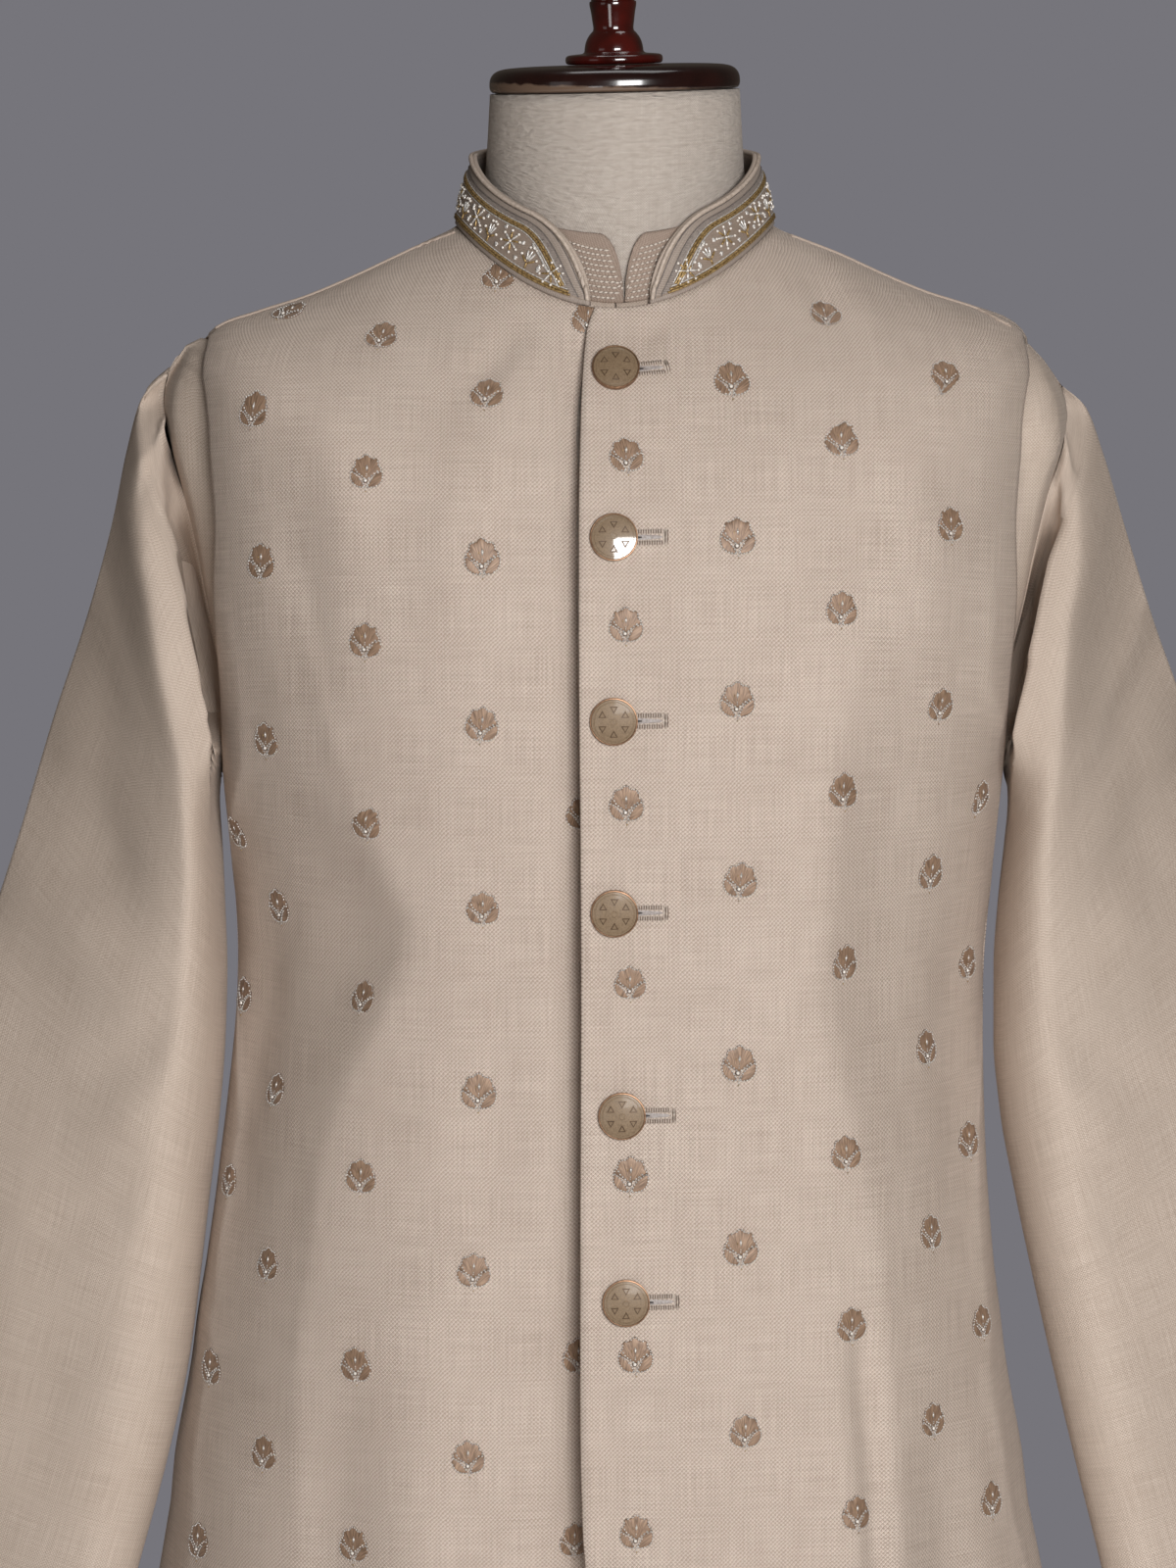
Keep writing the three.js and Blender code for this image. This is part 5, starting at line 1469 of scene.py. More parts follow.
def sprig_model(rng):
    """One small flower: a scalloped bud between two leaves, edged in silver purl."""
    pile = Pile()
    thread = thread_shape()

    # bud
    angles = np.radians(np.linspace(34, 146, 31))
    reach = np.max([r - LOBE_ROUND * r * (np.degrees(angles) - a) ** 2 for a, r in SPRIG_LOBES], 0)
    rim = SPRIG_BASE + reach[:, None] * np.stack([np.cos(angles), np.sin(angles)], 1)
    foot = SPRIG_BASE + ((-1.2, 1.2), (0, 0), (1.2, 1.2))
    outline = np.concatenate([rim, foot])
    points, faces = pad_shape(outline, 0.5, np.array([0.0, 3.0]))
    away = points[:, :2] - SPRIG_BASE
    pile.add(points, faces, walls(faces, len(outline)), np.stack(
        [np.degrees(np.arctan2(away[:, 0], away[:, 1])) * 0.16, np.hypot(*away.T)], 1))
    # leaves
    edges = [rim]
    for side, wide, root, tip, slant in SPRIG_LEAVES:
        along = np.subtract(tip, root)
        across = np.array([-along[1], along[0]]) / np.hypot(*along) * side
        f = np.linspace(0, 1, 8)
        bow = np.sin(np.pi * f)[:, None] ** 0.75
        middle = root + f[:, None] * along - across * bow * 1.1
        outer, inner = middle - across * bow * wide, middle + across * bow * wide
        outline = np.concatenate([outer, inner[-2:0:-1]])
        outline = outline if side < 0 else outline[::-1]
        points, faces = pad_shape(outline, 0.42, middle[4])
        threads = np.stack([points[:, :2] @ [slant[1], -slant[0]], points[:, :2] @ slant], 1)
        pile.add(points, faces, walls(faces, len(outline)), threads)
        edges += [outer, inner]

    def purls(path, length, slot, thick, kept=1.0):
        full = run_along(path)[-1]
        count = max(1, round(full / length))
        for k in range(count):
            if rng.random() > kept:
                continue
            low, high = places_along(path, full * (k + np.array([0.06, 0.94])) / count)
            half = (high - low) / 2
            size = np.hypot(*half)
            if size < 0.05:
                continue
            frame = laid_frames(np.array([[*half, 0.0]]), np.array([[0, 0, 1.0]]))
            off = rng.uniform(0.45, 0.7)
            pile.scatter(thread, [[*(low + half), off]], frame, (thick, thick, size), slot)

    for edge in edges:
        purls(edge, EDGE_PURL, 1, 0.5, EDGE_PURLS_KEPT)
    for line, *rest in SPRIG_PURLS:
        purls(np.array(line), *rest)
    bead = small_shape("bead")
    upright = np.eye(3)[None]
    pile.scatter(bead, [[-0.4, -4.4, 0.3]], upright, (1.45, 1.45, 0.6), 3)
    pile.scatter(bead, [[-0.4, -4.3, 0.7]], upright, (1.0, 1.0, 0.8), 4)
    return pile.arrays()


def lay_bars(pile, shape, ends, normals, wide, high, slot):
    """Lays a long shape between each pair of ends, in mm."""
    half = (ends[:, 1] - ends[:, 0]) / 2
    sizes = np.stack([np.full(len(half), wide), np.full(len(half), high),
                      np.linalg.norm(half, axis=-1)], 1)
    pile.scatter(shape, ends.mean(1), laid_frames(half, normals), sizes, slot)


def stitch(pile, cloth, shape, ends, wide, slot, off, high=None):
    """Lays small long shapes on a cloth, each between two places of the flat cloth."""
    points, normals = cloth.pin(np.asarray(ends, float), off)
    lay_bars(pile, shape, points, normals.mean(1), wide, high or wide, slot)


def ray(centre, angle, low, high):
    """The two ends of a bugle that points away from a centre."""
    way = np.array([math.cos(angle), math.sin(angle)])
    return [centre + way * low, centre + way * high]


def edge_gap(places, outline):
    """Distance of places on the flat cloth from an outline."""
    low, step = outline[:-1], np.diff(outline, axis=0)
    away = places[..., None, :] - low
    s = np.clip(np.sum(away * step, -1) / np.maximum(np.sum(step * step, -1), 1e-9), 0, 1)
    return np.linalg.norm(away - s[..., None] * step, axis=-1).min(-1)


def beside_edge(outline, gap, foot):
    """The line that runs beside a collar's outline, a gap inside it, down to the foot."""
    way = unit(np.gradient(outline, axis=0))
    line = outline + gap * np.stack([way[:, 1], -way[:, 0]], 1)
    line = line[(edge_gap(line, outline) > gap - 0.06) & (line[:, 1] > foot)]
    line = places_along(line, np.arange(0, run_along(line)[-1], BRAID_STEP))
    return np.stack([np.convolve(np.pad(c, 3, "edge"), np.ones(7) / 7, "valid")
                     for c in line.T], 1)


# ---- Sizes and colours a user would change ----
def colour_property(name, description, values):
    """A colour setting, from three 0-255 display values."""
    return bpy.props.FloatVectorProperty(name=name, description=description, subtype="COLOR",
                                         size=4, min=0, max=1, default=srgb(*values))


def power_property(name, description, watts):
    """A light's power."""
    return bpy.props.FloatProperty(name=name, description=description, default=watts, min=0,
                                   unit="POWER")


class ClothProperties(bpy.types.PropertyGroup):
    """Sizes and colours of the cloth."""
    waistcoat_light: colour_property(
        "Waistcoat Light Thread", "Lighter thread of the waistcoat's silk", (221, 205, 192))
    waistcoat_dark: colour_property(
        "Waistcoat Dark Thread", "Darker thread of the waistcoat's silk", (154, 136, 122))
    kurta_light: colour_property(
        "Kurta Light Thread", "Lighter thread of the kurta's silk", (208, 192, 178))
    kurta_dark: colour_property(
        "Kurta Dark Thread", "Darker thread of the kurta's silk", (170, 152, 137))
    linen_light: colour_property(
        "Linen Light Thread", "Lighter thread of the form's linen", (214, 204, 194))
    linen_dark: colour_property(
        "Linen Dark Thread", "Darker thread of the form's linen", (176, 163, 152))
    thickness: bpy.props.FloatProperty(
        name="Cloth Thickness", description="Thickness of one layer of either garment",
        default=CLOTH * MM, min=0.0005, max=0.003, unit="LENGTH", subtype="DISTANCE")


class EmbroideryProperties(bpy.types.PropertyGroup):
    """Colours and size of the embroidery."""
    satin_light: colour_property(
        "Satin Light", "Lighter satin thread of the sprigs", (162, 133, 109))
    satin_dark: colour_property(
        "Satin Dark", "Darker satin thread of the sprigs", (108, 84, 66))
    sprig_size: bpy.props.FloatProperty(
        name="Sprig Size", description="Size of a sprig, as a share of 21 mm", default=1.0,
        min=0.5, max=1.5, subtype="FACTOR")


class StageProperties(bpy.types.PropertyGroup):
    """Floor, backdrop and light."""
    floor: colour_property("Floor", "Colour of the floor", (226, 224, 222))
    backdrop: colour_property("Backdrop", "Grey seen behind the object", (118, 117, 123))
    key_power: power_property("Key Light", "Power of the main soft light", 104.0)
    top_power: power_property("Top Light", "Power of the light overhead", 9.0)
    fill_power: power_property("Fill Light", "Power of the soft light opposite", 2.6)


def cloth_settings():
    return bpy.context.scene.waistcoat_cloth


def pair(settings, kind):
    """The light and the dark thread of one kind, as the settings have them."""
    return [tuple(getattr(settings, f"{kind}_{shade}")) for shade in ("light", "dark")]


def silk(kind):
    """The silk of the waistcoat, or the finer one of the kurta."""
    finer = {} if kind == "waistcoat" else {"threads": 620.0, "slubs": 0.8, "bump": 0.4}
    return cloth_finish(kind + " silk", *pair(cloth_settings(), kind), **finer)


def settle(piece, slot, *nodes):
    """Attaches a finished piece to the root body, and hides the CAD nodes it stands for. The slot
    is not used.
    """
    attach(piece, "root")
    if nodes:
        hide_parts(*nodes)
    return piece


# ---- Operators ----
FORM_STEP, FORM_SIDES = 6, 120      # size of the form's cells, in mm, and how many go round
# Rings that close the form: how far each is drawn in, and how far it is raised, in mm
FORM_FOOT_RINGS = ((0.02, 0), (0.3, 0), (0.6, 0), (0.9, 0), (0.97, 0.1), (0.99, 1.2))
FORM_TOP_RINGS = ((0.985, -0.1), (0.9, -0.1), (0.5, -0.1), (0.03, -0.1))


class MakeForm(bpy.types.Operator):
    """Covers the limbless torso and neck of the dress form in crepe linen"""
    bl_idname = "waistcoat.make_form"
    bl_label = "Dress Form"

    def execute(self, context):
        rows = even_rows(FORM_FOOT, FORM_TOP, FORM_STEP, 60)
        t = np.arange(FORM_SIDES) * 360 / FORM_SIDES
        points = on_form(t[None], rows[:, None])
        # the foot and the neck's top are closed by rings drawn in to the middle
        foot, top = ([points[row] * [k, k, 1] + [0, 0, rise] for k, rise in rings]
                     for row, rings in ((0, FORM_FOOT_RINGS), (-1, FORM_TOP_RINGS)))
        points[0, :, 2] += 4
        points = np.concatenate([foot, points, top])
        n, cols = points.shape[:2]
        wide = cols + 1
        quads, places = grid_faces(n, cols, wide, True)
        across = run_along(np.concatenate([points, points[:, :1]], 1))
        up = run_along(points[:, 0])
        flat = np.stack(np.broadcast_arrays(across, up[:, None]), -1).reshape(-1, 2)
        around = np.arange(cols)
        faces = quads.tolist() + [around[::-1].tolist(), ((n - 1) * cols + around).tolist()]
        ends = np.concatenate([around[::-1], (n - 1) * wide + around])
        corners = np.concatenate([flat[places.ravel()], flat[ends]])
        mesh = mesh_from("dress_form", points.reshape(-1, 3), faces, corners)
        finish = linen_finish("form linen", *pair(cloth_settings(), "linen"))
        settle(add_object("dress_form", mesh, [finish]), "form_linen", "form_body")
        return {"FINISHED"}


RUBBED_RIM = 3.2            # height of the cap's worn rim, in mm
# Turned profiles: radius and height, in mm
CAP_PROFILE = (
    (59.5, 0), (61.6, 0.5), (62.6, 1.6), (63, 3.4), (62.9, 5.6), (62.2, 8), (60.6, 10), (58, 11.4),
    (54, 12.2), (47, 12.7), (36, 13), (16, 13), (1, 13),
)
FINIAL_PROFILE = (
    (20, 0), (23.2, 0.2), (24.2, 1), (24.5, 2.4), (24.2, 3.8), (23.0, 4.7), (20, 5.1), (16, 5.5),
    (14.9, 6.4), (14.7, 8), (14.2, 10.6), (13.0, 13.4), (11.4, 15.6), (10.3, 16.8), (10.1, 18),
    (10.5, 21.5), (11.1, 26), (11.8, 30.4), (11.7, 31.2), (10.9, 31.6), (10.9, 32.4), (11.8, 32.9),
    (12.3, 34.2), (12.4, 36.2), (12.0, 38.4), (10.2, 41), (8.8, 42.4), (8.4, 44), (9.8, 47),
    (12.2, 50.2), (13.4, 54), (13.5, 57.4), (12.4, 61.6), (10, 65.2), (6, 68.2), (2.4, 69.6),
    (0.4, 70),
)
BASE_PROFILE = (
    (167, 0), (169.4, 0.6), (170, 2.4), (170, 8.6), (169.2, 11.4), (166.4, 14.2), (160, 16.4),
    (150, 18.0), (120, 19.4), (82, 21), (62, 23), (50, 25.2), (45, 26), (20, 26), (1, 26),
)
POLE_PROFILE = (
    (32, 26.3), (34, 27), (34, 30.4), (32.4, 32.4), (28, 35.4), (24, 41), (21.4, 50), (19, 62),
    (18, 74), (18, 240), (18, 430), (18, 620), (18, 784), (19.6, 787), (31, 791), (33.6, 792.6),
    (34, 794), (34, 798.4), (33.4, 799.7), (10, 799.7), (1, 799.7),
)


class MakeStand(bpy.types.Operator):
    """Turns the neck cap, the finial, the pole and the base, and lacquers them"""
    bl_idname = "waistcoat.make_stand"
    bl_label = "Cap, Finial and Stand"

    def execute(self, context):
        neck_top = float(section(FORM_TOP)["side"]) + SEAM
        seat = (Matrix.Translation((0, 0, neck_top * MM))
                @ Matrix.Rotation(-math.radians(CAP_TILT), 4, "Y"))
        dark, red = (small_finish(f"lacquered mahogany, {name}") for name in ("dark", "red"))
        rubbed = small_finish("lacquered mahogany, rubbed rim",
                              ((neck_top + RUBBED_RIM) * MM, srgb(104, 84, 70)))
        on_cap = CAP_PROFILE[-1][1] + SEAM
        # piece, profile, sides, rows, CAD node, height above the neck's top, finish
        pieces = (
            ("neck_cap", CAP_PROFILE, 128, 70, "form_cap", 0.0, rubbed),
            ("neck_finial", FINIAL_PROFILE, 72, 110, "form_finial", on_cap, red),
            ("stand_column", POLE_PROFILE, 64, 60, "stand_pole", None, red),
            ("stand_foot", BASE_PROFILE, 144, 60, "stand_base", None, dark),
        )
        for name, profile, sides, rows, replaced, rise, finish in pieces:
            piece = turned(name, profile, sides, rows)
            if rise is not None:
                piece.data.transform(seat @ Matrix.Translation((0, 0, rise * MM)))
            piece.data.materials.append(finish)
            settle(piece, "mahogany", replaced)
        return {"FINISHED"}


def sew_cuts(cuts, kind):
    """Sews each cut in the silk of its kind. Each cut's width and length, its area, in metres, and
    the piece it rests on are not used.
    """
    thick = cloth_settings().thickness / MM
    for name, (flat, area, rests) in cuts.items():
        cloth = sleeve(name) if "sleeve" in name else panel(name)
        piece = sew(name + "_cloth", cloth, thick, silk(kind))
        settle(piece, kind + "_silk", name)


class MakeKurta(bpy.types.Operator):
    """Sews the kurta: its front, its back and its two sleeves"""
    bl_idname = "waistcoat.make_kurta"
    bl_label = "Kurta"

    def execute(self, context):
        sew_cuts({
            "kurta_front": ((0.64, 1.02), 0.54, "dress_form"),
            "kurta_back": ((0.64, 1.02), 0.55, "dress_form"),
            "kurta_sleeve_left": ((0.40, 0.67), 0.214, "kurta_front"),
            "kurta_sleeve_right": ((0.40, 0.67), 0.214, "kurta_front"),
        }, "kurta")
        return {"FINISHED"}


class MakeWaistcoat(bpy.types.Operator):
    """Sews the waistcoat: two fronts that lap over each other, and the back"""
    bl_idname = "waistcoat.make_waistcoat"
    bl_label = "Waistcoat"

    def execute(self, context):
        sew_cuts({
            "waistcoat_front_left": ((0.36, 0.77), 0.212, "dress_form"),
            "waistcoat_front_right": ((0.36, 0.77), 0.222, "dress_form"),
            "waistcoat_back": ((0.60, 0.79), 0.42, "dress_form"),
        }, "waistcoat")
        return {"FINISHED"}


class MakeCollars(bpy.types.Operator):
    """Sews the two standing collars, of the waistcoat and of the kurta"""
    bl_idname = "waistcoat.make_collars"
    bl_label = "Collars"

    def execute(self, context):
        band = collar("waistcoat_collar")
        edge = edge_gap(band.flat, collar_outline(band.flat))
        edge = np.where(band.flat[..., 1] < COLLAR_FOLD, COLLAR_FOLD_CODE, edge)
        shown = copy.copy(band)
        shown.flat = np.stack([band.flat[..., 0], -edge], -1)
        piece = sew("waistcoat_collar_band", shown, COAT_COLLAR["thick"], collar_finish())
        settle(piece, "collar_embroidery", "waistcoat_collar")
        ground = cloth_finish("kurta collar silk", srgb(178, 158, 144), srgb(140, 121, 107), 700.0)
        piece = sew("kurta_collar_band", collar("kurta_collar"), KURTA_COLLAR["thick"], ground)
        settle(piece, "kurta_silk", "kurta_collar")
        return {"FINISHED"}


class MakeSprigs(bpy.types.Operator):
    """Embroiders the small flowers on the fronts and the back of the waistcoat"""
    bl_idname = "waistcoat.make_sprigs"
    bl_label = "Sprigs"

    def execute(self, context):
        rng = np.random.default_rng(SEED)
        models = [sprig_model(rng) for _ in range(SPRIG_KINDS)]
        settings = context.scene.waistcoat_embroidery
        finishes = (
            satin_finish("satin stitch", *pair(settings, "satin")),
            *map(small_finish, ("silver purl", "gold purl", "outline thread", "seed pearl")))
        lap = panel("waistcoat_front_left").points[:, 0]
        for name, columns in SPRIG_COLUMNS.items():
            cloth, pile = panel(name), Pile()
            rows, cols = cloth.points.shape[:2]
            for top, foot, *heights in columns:
                for height in heights:
                    across = top + (foot - top) * (SPRIG_TOP - height) / SPRIG_RUN
                    target = np.array([across, height]) + rng.normal(0, 0.8, 2)
                    turn, size = rng.normal(0, 0.05), rng.uniform(0.94, 1.05) * settings.sprig_size
                    points, faces, slots, places = models[rng.integers(len(models))]
                    i, j = cloth.nearest(cloth.flat, target)
                    if min(i, rows - 1 - i, j, cols - 1 - j) < 0.8:
                        continue
                    local = points.copy()
                    if name == "waistcoat_front_right":
                        # flat where the sprig runs under the other front
                        laid = cloth.lay(local * [1, 1, 0], i, j, turn, size)
                        over = np.interp(laid[:, 2], lap[:, 2], lap[:, 0]) - laid[:, 0]
                        local[:, 2] *= 0.12 + 0.88 * smooth(over, -0.4, 0.8)
                    local = cloth.lay(local, i, j, turn, size)
                    pile.add(local, faces, slots, places + target)
            settle(pile.make(name + "_sprigs", finishes), "waistcoat_silk")
        return {"FINISHED"}


SILVER, GOLD, WHITE, DARK, PIPING = range(5)    # slots of the collar's embroidery
# Braids round the collar's edge and along its foot: how far in or up, the radius, the slot
EDGE_BRAIDS = (
    (1.2, 1.15, PIPING), (2.7, 0.34, DARK), (5.8, 0.3, DARK), (8.6, 0.26, SILVER),
    (9.6, 0.62, GOLD), (10.8, 0.62, GOLD), (12.0, 0.34, SILVER),
)
FOOT_BRAIDS = ((2.9, 0.62, GOLD), (4.2, 0.62, GOLD), (5.4, 0.34, SILVER))
FLOWER_MARGIN, FLOWER_PITCH = 24, 14    # room before the first flower, and about their distance
# A tall flower's bugles: slot, angle, and where each starts and ends
TALL_BUGLES = (
    (SILVER, 90, 2.2, 7.4), (SILVER, 72, 2.0, 7.0), (SILVER, 108, 2.0, 7.0),
    (GOLD, 38, 0.8, 4.8), (GOLD, 142, 0.8, 4.8), (GOLD, -90, -0.6, 2.6),
)
BEAD_OUT = 5.9              # from a flower's middle to its beads
SPECKS = 900                # thread ends over the speckled band


class MakeCollarEmbroidery(bpy.types.Operator):
    """Lays the braids, purl flowers and pearls on the waistcoat's collar"""
    bl_idname = "waistcoat.make_collar_embroidery"
    bl_label = "Collar Embroidery"

    def execute(self, context):
        cloth, pile = collar("waistcoat_collar"), Pile()
        outline = collar_outline(cloth.flat)

        def braid(line, radius, off, slot):
            """Lays a cord along a line of the flat cloth, a share of its radius up."""
            path, normals = cloth.pin(line, radius * off)
            pile.add(*cord_mesh(path, normals, radius, 3 if slot == GOLD else 0, 2.2), slot)

        for gap, radius, slot in EDGE_BRAIDS:
            braid(beside_edge(outline, gap, 3.0 if gap > 6 else 0.8), radius, 0.5, slot)
        half = cloth.flat[0, -1, 0]
        for up, radius, slot in FOOT_BRAIDS:
            end = half - np.interp(up, [2.9, 5.4], [10, 13])
            across = np.arange(-end, end, BRAID_STEP)
            braid(np.stack([across, across * 0 + up], 1), radius, 0.6, slot)

        bugles, beads = {SILVER: [], GOLD: []}, []
        count = int((half - FLOWER_MARGIN) / FLOWER_PITCH)
        pitch = (half - FLOWER_MARGIN) / count
        for side in (-1, 1):
            for k in range(count + (side > 0)):
                across = side * (half - FLOWER_MARGIN - pitch * k)
                top = np.interp(across, cloth.flat[-1, :, 0], cloth.flat[-1, :, 1])
                # the first flowers climb with the collar's round, and the others lie in its middle
                middle = np.array([across, min(13.5 + 2.2 * k, (top - 12 + 5.4) / 2 + 0.6)])
                if k % 2 == 0:
                    # a round flower of eight bugles with a bead at the end of each
                    for petal in range(8):
                        angle = math.pi * (petal + 0.5) / 4
                        bugles[SILVER if petal % 2 else GOLD].append(ray(middle, angle, 1.1, 4.9))
                        beads.append(ray(middle, angle, BEAD_OUT, BEAD_OUT)[0])
                    beads.append(middle)
                else:
                    # a tall flower
                    base = middle - (0, 4.6)
                    for slot, angle, low, high in TALL_BUGLES:
                        bugles[slot].append(ray(base, math.radians(angle), low, high))
                        if slot == GOLD and angle > 0:
                            beads.append(ray(base, math.radians(angle), BEAD_OUT, BEAD_OUT)[0])
                    beads += [base + (-1.9, 8.6), base + (0, 9.2), base + (1.9, 8.6)]
                # small clusters between the flowers
                between = across - side * pitch / 2
                for up, way in ((8.2, 1), (top - 14.6, -1)):
                    for angle in (50, 90, 130):
                        bugles[SILVER].append(
                            ray(np.array([between, up]), way * math.radians(angle), -0.9, 1.5))
            # close rows of bugles inside the braid at the front ends
            inner = beside_edge(outline, 13.2, 8.0)[::-side]
            for low in places_along(inner, np.arange(0.6, 17, 1.15)):
                bugles[SILVER].append([low, low + (-side * 1.9, 1.5)])
        for slot, ends in bugles.items():
            stitch(pile, cloth, small_shape("purl"), ends, 0.52, slot, 0.46)
        places, normals = cloth.pin(np.array(beads), 0.62)
        frames = laid_frames(np.broadcast_to([0, 0, 1.0], normals.shape), normals)
        pile.scatter(small_shape("pearl"), places, frames, 0.7, WHITE)
        # scattered thread ends over the speckled band
        rng = np.random.default_rng(SEED + 1)
        line = beside_edge(outline, 7.4, 2.4)
        starts = line[rng.integers(len(line), size=SPECKS)] + rng.uniform(-1.2, 1.2, (SPECKS, 2))
        starts = starts[starts[:, 1] > 2.6]
        ends = np.stack([starts, starts + rng.normal(0, 0.5, starts.shape)], 1)
        stitch(pile, cloth, thread_shape(), ends, 0.16, DARK, 0.06)
        finishes = tuple(map(small_finish, (
            "silver purl", "gold purl", "seed pearl", "speckle thread", "collar piping")))
        settle(pile.make("waistcoat_collar_embroidery", finishes), "collar_embroidery")
        return {"FINISHED"}


# Buttonholes, in mm from the button's rim: where the slit starts and ends, how wide its worked
# edge is, and the step from stitch to stitch
HOLE_START, HOLE_END, HOLE_BAR, HOLE_EDGE, HOLE_STEP = -1.4, 12.2, 15, (1.4, 4.1), 0.6
# Places on each front, across and up, that the shoulder's seam runs through
SHOULDER_SEAMS = {
    "waistcoat_front_right": ((-80, 1429), (-112, 1417), (-145, 1404), (-176, 1393), (-203, 1382)),
    "waistcoat_front_left": ((92, 1430), (118, 1421), (146, 1409), (174, 1395), (199, 1382)),
}


class MakeStitches(bpy.types.Operator):
    """Works the kurta collar's rows of stitching, and the buttonholes"""
    bl_idname = "waistcoat.make_stitches"
    bl_label = "Stitching and Buttonholes"

    def execute(self, context):
        thread = thread_shape()
        light = small_finish("stitching thread")
        cloth, pile = collar("kurta_collar"), Pile()
        half, full = cloth.flat[0, -1, 0], cloth.flat[-1, 100, 1]
        outline = collar_outline(cloth.flat)
        for up in np.arange(1.8, full + 4, KURTA_STITCH_ROW):
            starts = np.arange(-half + 0.6, half - 3, 2.4)
            level = 0 * starts + up
            ends = np.stack([starts, level - 0.2, starts + 3.0, level + 0.2], 1).reshape(-1, 2, 2)
            top = np.interp(ends[..., 0], cloth.flat[-1, :, 0], cloth.flat[-1, :, 1])
            within = (top > up).all(1) & (edge_gap(ends, outline) > 0.9).all(1)
            stitch(pile, cloth, thread, ends[within], 0.66, 0, 0.16, 0.5)
        settle(pile.make("kurta_collar_stitching", (light,)), "kurta_silk")

        cloth, pile = panel("waistcoat_front_left"), Pile()
        r, (near, far) = BUTTON_RADIUS, HOLE_EDGE
        for x, z in BUTTON_ROWS:
            i, j = cloth.seen_at((x, z))
            stitches = [((a, way * near, 0.28), (a, way * far, 0.28)) for way in (1, -1)
                        for a in np.arange(r + HOLE_START, r + HOLE_END, HOLE_STEP)]
            stitches += [((a, -far, 0.28), (a, far, 0.28))
                         for a in np.arange(r + HOLE_END + HOLE_STEP, r + HOLE_BAR, HOLE_STEP)]
            ends = cloth.lay(np.array(stitches).reshape(-1, 3), i, j).reshape(-1, 2, 3)
            normals = np.broadcast_to(cloth.axes(i, j)[2], ends[:, 0].shape)
            # every other stitch takes the dark finish: painted shade in the gaps between the light
            # stitches
            for first in (0, 1):
                lay_bars(pile, thread, ends[first::2], normals[first::2], 0.38, 0.42, 3 * first)
            low, high = r - 1.6, r + HOLE_END
            slit = np.array([(low, -1.5), (high - 2, -0.8), (high, 0), (high - 2, 0.8),
                             (low, 1.5)])
            shadow = slit[[0, 1, 3, 4]] * [0.28, 0.5] + [low * 0.72 + 0.4, 0]
            for outline, rise, slot in ((slit, 0.16, 1), (shadow, 0.24, 2)):
                points, faces = pad_shape(outline, rise, outline.mean(0))
                pile.add(cloth.lay(points, i, j), faces, slot)
        finishes = (light, *(small_finish("buttonhole " + kind)
                             for kind in ("slit", "shadow", "thread, brown")))
        settle(pile.make("buttonhole_stitching", finishes), "waistcoat_silk")

        # the shoulder seams' turned edges, just before the shoulders' ridge
        pile = Pile()
        for name, places in SHOULDER_SEAMS.items():
            cloth = panel(name)
            at = hermite(np.arange(5.0), np.array(places, float), np.linspace(0, 4, 90))
            at = np.array([cloth.seen_at(place) for place in at])
            line, normals = cloth.sample(*at.T)
            pile.add(*cord_mesh(line + normals * 0.1, normals, 0.9, sides=8), 0)
        settle(pile.make("shoulder_seams", (silk("waistcoat"),)), "waistcoat_silk")
        return {"FINISHED"}


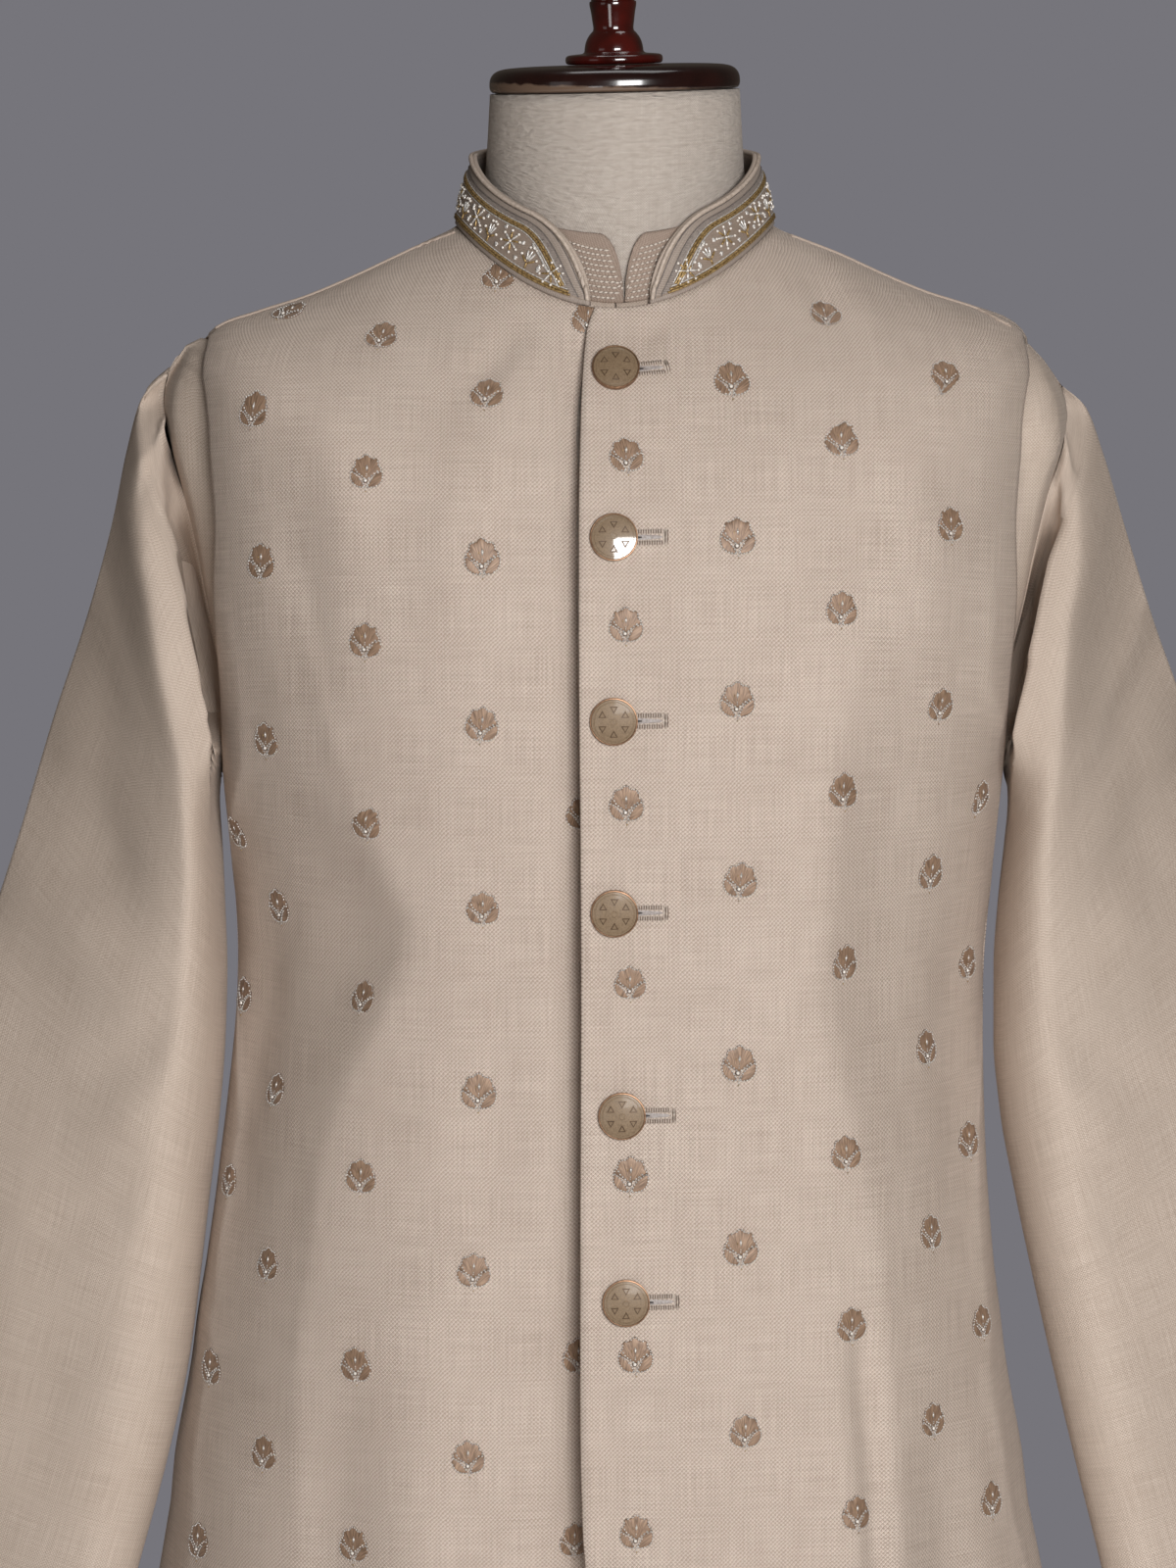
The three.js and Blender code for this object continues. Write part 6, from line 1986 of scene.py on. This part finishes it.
class MakeButtons(bpy.types.Operator):
    """Models one engraved metal button, and sets six on the front"""
    bl_idname = "waistcoat.make_buttons"
    bl_label = "Buttons"

    def model(self):
        deselect()
        r, h = BUTTON_RADIUS * MM, BUTTON_HEIGHT * MM
        bpy.ops.mesh.primitive_cylinder_add(vertices=64, radius=r, depth=h, location=(0, 0, h / 2))
        piece = bpy.context.object
        bpy.ops.object.transform_apply(location=True, rotation=True, scale=True)
        bpy.ops.object.mode_set(mode="EDIT")
        select_faces(piece, lambda face: face.normal.z > 0.9)
        for inward, depth in FACE_INSETS:
            bpy.ops.mesh.inset(thickness=inward * MM, depth=depth * MM)
        for k in range(PETALS):
            angle = 2 * math.pi * (k + 0.5) / PETALS
            out = PETAL_RING * MM
            for radius, top in PETAL_PRISMS:
                bpy.ops.mesh.primitive_cylinder_add(
                    vertices=3, radius=radius * MM, depth=0.5 * MM,
                    rotation=(0, 0, angle + math.pi / 2),
                    location=(out * math.cos(angle), out * math.sin(angle), h + (top - 0.25) * MM))
                bpy.ops.mesh.bevel(offset=0.12 * MM, segments=1, affect="EDGES")
        finish_by_hand(piece, 30)
        bevel = piece.modifiers.new("rim", "BEVEL")
        bevel.width, bevel.segments, bevel.limit_method = 0.28 * MM, 3, "ANGLE"
        bevel.angle_limit = math.radians(60)
        bpy.ops.object.modifier_apply(modifier=bevel.name)
        # the face is a low dome
        for point in piece.data.vertices:
            out = math.hypot(point.co.x, point.co.y) / r
            if point.co.z > h / 2:
                point.co.z += BUTTON_DOME * MM * (1 - out * out)
        return piece

    def part(self, polygon):
        """Which finish a face of the model takes: 0 for the face, 1 the rim, 2 the engraving."""
        x, y, z = np.array(polygon.center) / MM
        out = math.hypot(x, y)
        dome = BUTTON_DOME * (1 - (out / BUTTON_RADIUS) ** 2)
        low, high = PETAL_GROUND
        ground = (low < z - BUTTON_HEIGHT - dome < high and abs(out - PETAL_RING) < 2.2
                  and len(polygon.vertices) < 8)
        inside = BUTTON_RADIUS - out
        if ground or BUTTON_RIM < inside < BUTTON_RIM * 1.6:
            return 2
        return int(inside < BUTTON_RIM * 1.3)

    def execute(self, context):
        bright, dull, rim, engraving = (small_finish("button " + kind) for kind in (
            "face, bright gilt", "face, dull gilt", "rim, copper gilt", "engraving, dark gilt"))
        model = self.model()
        for finish in (bright, rim, engraving):
            model.data.materials.append(finish)
        for polygon in model.data.polygons:
            polygon.material_index = self.part(polygon)
        cloth = panel("waistcoat_front_left")
        for number, (x, z) in enumerate(BUTTON_ROWS, 1):
            i, j = cloth.seen_at((x, z))
            point = cloth.sample(i, j)[0]
            across, up, normal = cloth.axes(i, j)
            axes = np.stack([across, up, normal], 1)
            place = Matrix(axes.tolist()).to_4x4()
            place.translation = Vector((point + normal * BUTTON_STAND) * MM)
            piece = model.copy()
            piece.data = model.data.copy()
            piece.data.materials[0] = bright if number <= BRIGHT_BUTTONS else dull
            bpy.context.scene.collection.objects.link(piece)
            piece.name = piece.data.name = f"button_{number}_gilt"
            piece.data.transform(place)
            settle(piece, "button_gilt", f"button_{number}")
        mesh = model.data
        bpy.data.objects.remove(model)
        bpy.data.meshes.remove(mesh)
        return {"FINISHED"}


# Lights: place and aim in metres, width and height, then the setting and share of its power
LIGHTS = {
    "key": ((0.76, -3.2, 1.75), (0, 0, 1.15), (1.3, 1.2), "key_power", 1),
    "top": ((0.1, 0.3, 3.4), (0, 0, 1.3), (1.6, 0.8), "top_power", 1),
    "fill": ((-2.4, -2.0, 1.6), (0, 0, 1.1), (1.2, 1.2), "fill_power", 1),
    "low": ((-0.78, -2.5, 0.75), (0, 0, 1.2), (0.6, 0.8), "fill_power", 2),
    "back": ((0.5, 3.0, 1.7), (0, 0, 1.1), (1.8, 1.2), "key_power", 0.28),
}
CAMERA_PLACE, CAMERA_AIM = Vector((-0.0135, -3.0, 1.537)), Vector((-0.0135, 0, 1.148))
VIEW_SIZE, SENSOR_SIZE = 0.8, 36    # what the view takes in, in metres, and the sensor, in mm


def facing(place, aim):
    """Rotation of a lamp or a camera that looks from its place to its aim."""
    return (Vector(aim) - Vector(place)).to_track_quat("-Z", "Y").to_euler()


class SetStage(bpy.types.Operator):
    """Lays the floor, lights the object and sets the camera"""
    bl_idname = "waistcoat.set_stage"
    bl_label = "Stage"

    def execute(self, context):
        scene = context.scene
        settings = scene.waistcoat_stage
        deselect()
        bpy.ops.mesh.primitive_circle_add(vertices=96, radius=2.2, fill_type="NGON")
        floor = context.object
        floor.name = "floor"
        colour = tuple(settings.floor)
        floor.data.materials.append(mottled_finish("floor paper", colour, colour, 0.8, 0.05, 3.0))

        world = bpy.data.worlds.new("studio")
        scene.world = world
        world.use_nodes = True
        tree = world.node_tree
        tree.nodes.clear()
        seen = node(tree, "ShaderNodeBackground", {"Color": tuple(settings.backdrop)})
        lit = node(tree, "ShaderNodeBackground", {"Color": srgb(212, 194, 178), "Strength": 0.075})
        path = node(tree, "ShaderNodeLightPath")
        chosen = node(tree, "ShaderNodeMixShader", {
            0: path.outputs["Is Camera Ray"], 1: lit.outputs[0], 2: seen.outputs[0]})
        node(tree, "ShaderNodeOutputWorld", {0: chosen.outputs[0]})

        for name, (place, aim, size, power, share) in LIGHTS.items():
            data = bpy.data.lights.new(name, "AREA")
            data.shape, data.size, data.size_y = "RECTANGLE", *size
            data.energy = getattr(settings, power) * share
            lamp = bpy.data.objects.new(name, data)
            lamp.location, lamp.rotation_euler = place, facing(place, aim)
            lamp.visible_glossy = name != "back"
            scene.collection.objects.link(lamp)

        data = bpy.data.cameras.new("camera")
        data.sensor_width = SENSOR_SIZE
        data.lens = SENSOR_SIZE * (CAMERA_AIM - CAMERA_PLACE).length / VIEW_SIZE
        camera = bpy.data.objects.new("camera", data)
        camera.location, camera.rotation_euler = CAMERA_PLACE, facing(CAMERA_PLACE, CAMERA_AIM)
        scene.collection.objects.link(camera)
        scene.camera = camera
        scene.view_settings.view_transform = "Standard"
        return {"FINISHED"}


class WaistcoatPanel(bpy.types.Panel):
    """Lists the steps in their order, with the sizes and colours"""
    bl_idname = "VIEW3D_PT_waistcoat"
    bl_label = "Waistcoat Set"
    bl_space_type = "VIEW_3D"
    bl_region_type = "UI"
    bl_category = "Waistcoat"

    def draw(self, context):
        for step in STEPS:
            self.layout.operator(step.bl_idname)
        for name, kind in SETTINGS.items():
            column = self.layout.column()
            for key in kind.__annotations__:
                column.prop(getattr(context.scene, name), key)


STEPS = (MakeForm, MakeStand, MakeKurta, MakeWaistcoat, MakeCollars, MakeSprigs,
         MakeCollarEmbroidery, MakeStitches, MakeButtons, SetStage)
SETTINGS = {"waistcoat_cloth": ClothProperties, "waistcoat_embroidery": EmbroideryProperties,
            "waistcoat_stage": StageProperties}
CLASSES = (*SETTINGS.values(), *STEPS, WaistcoatPanel)


def register():
    for item in CLASSES:
        bpy.utils.register_class(item)
    for name, kind in SETTINGS.items():
        setattr(bpy.types.Scene, name, bpy.props.PointerProperty(type=kind))


def unregister():
    for name in SETTINGS:
        delattr(bpy.types.Scene, name)
    for item in reversed(CLASSES):
        bpy.utils.unregister_class(item)


def main():
    register()
    for step in STEPS:
        group, name = step.bl_idname.split(".")
        getattr(getattr(bpy.ops, group), name)()


if __name__ == "__main__":
    main()
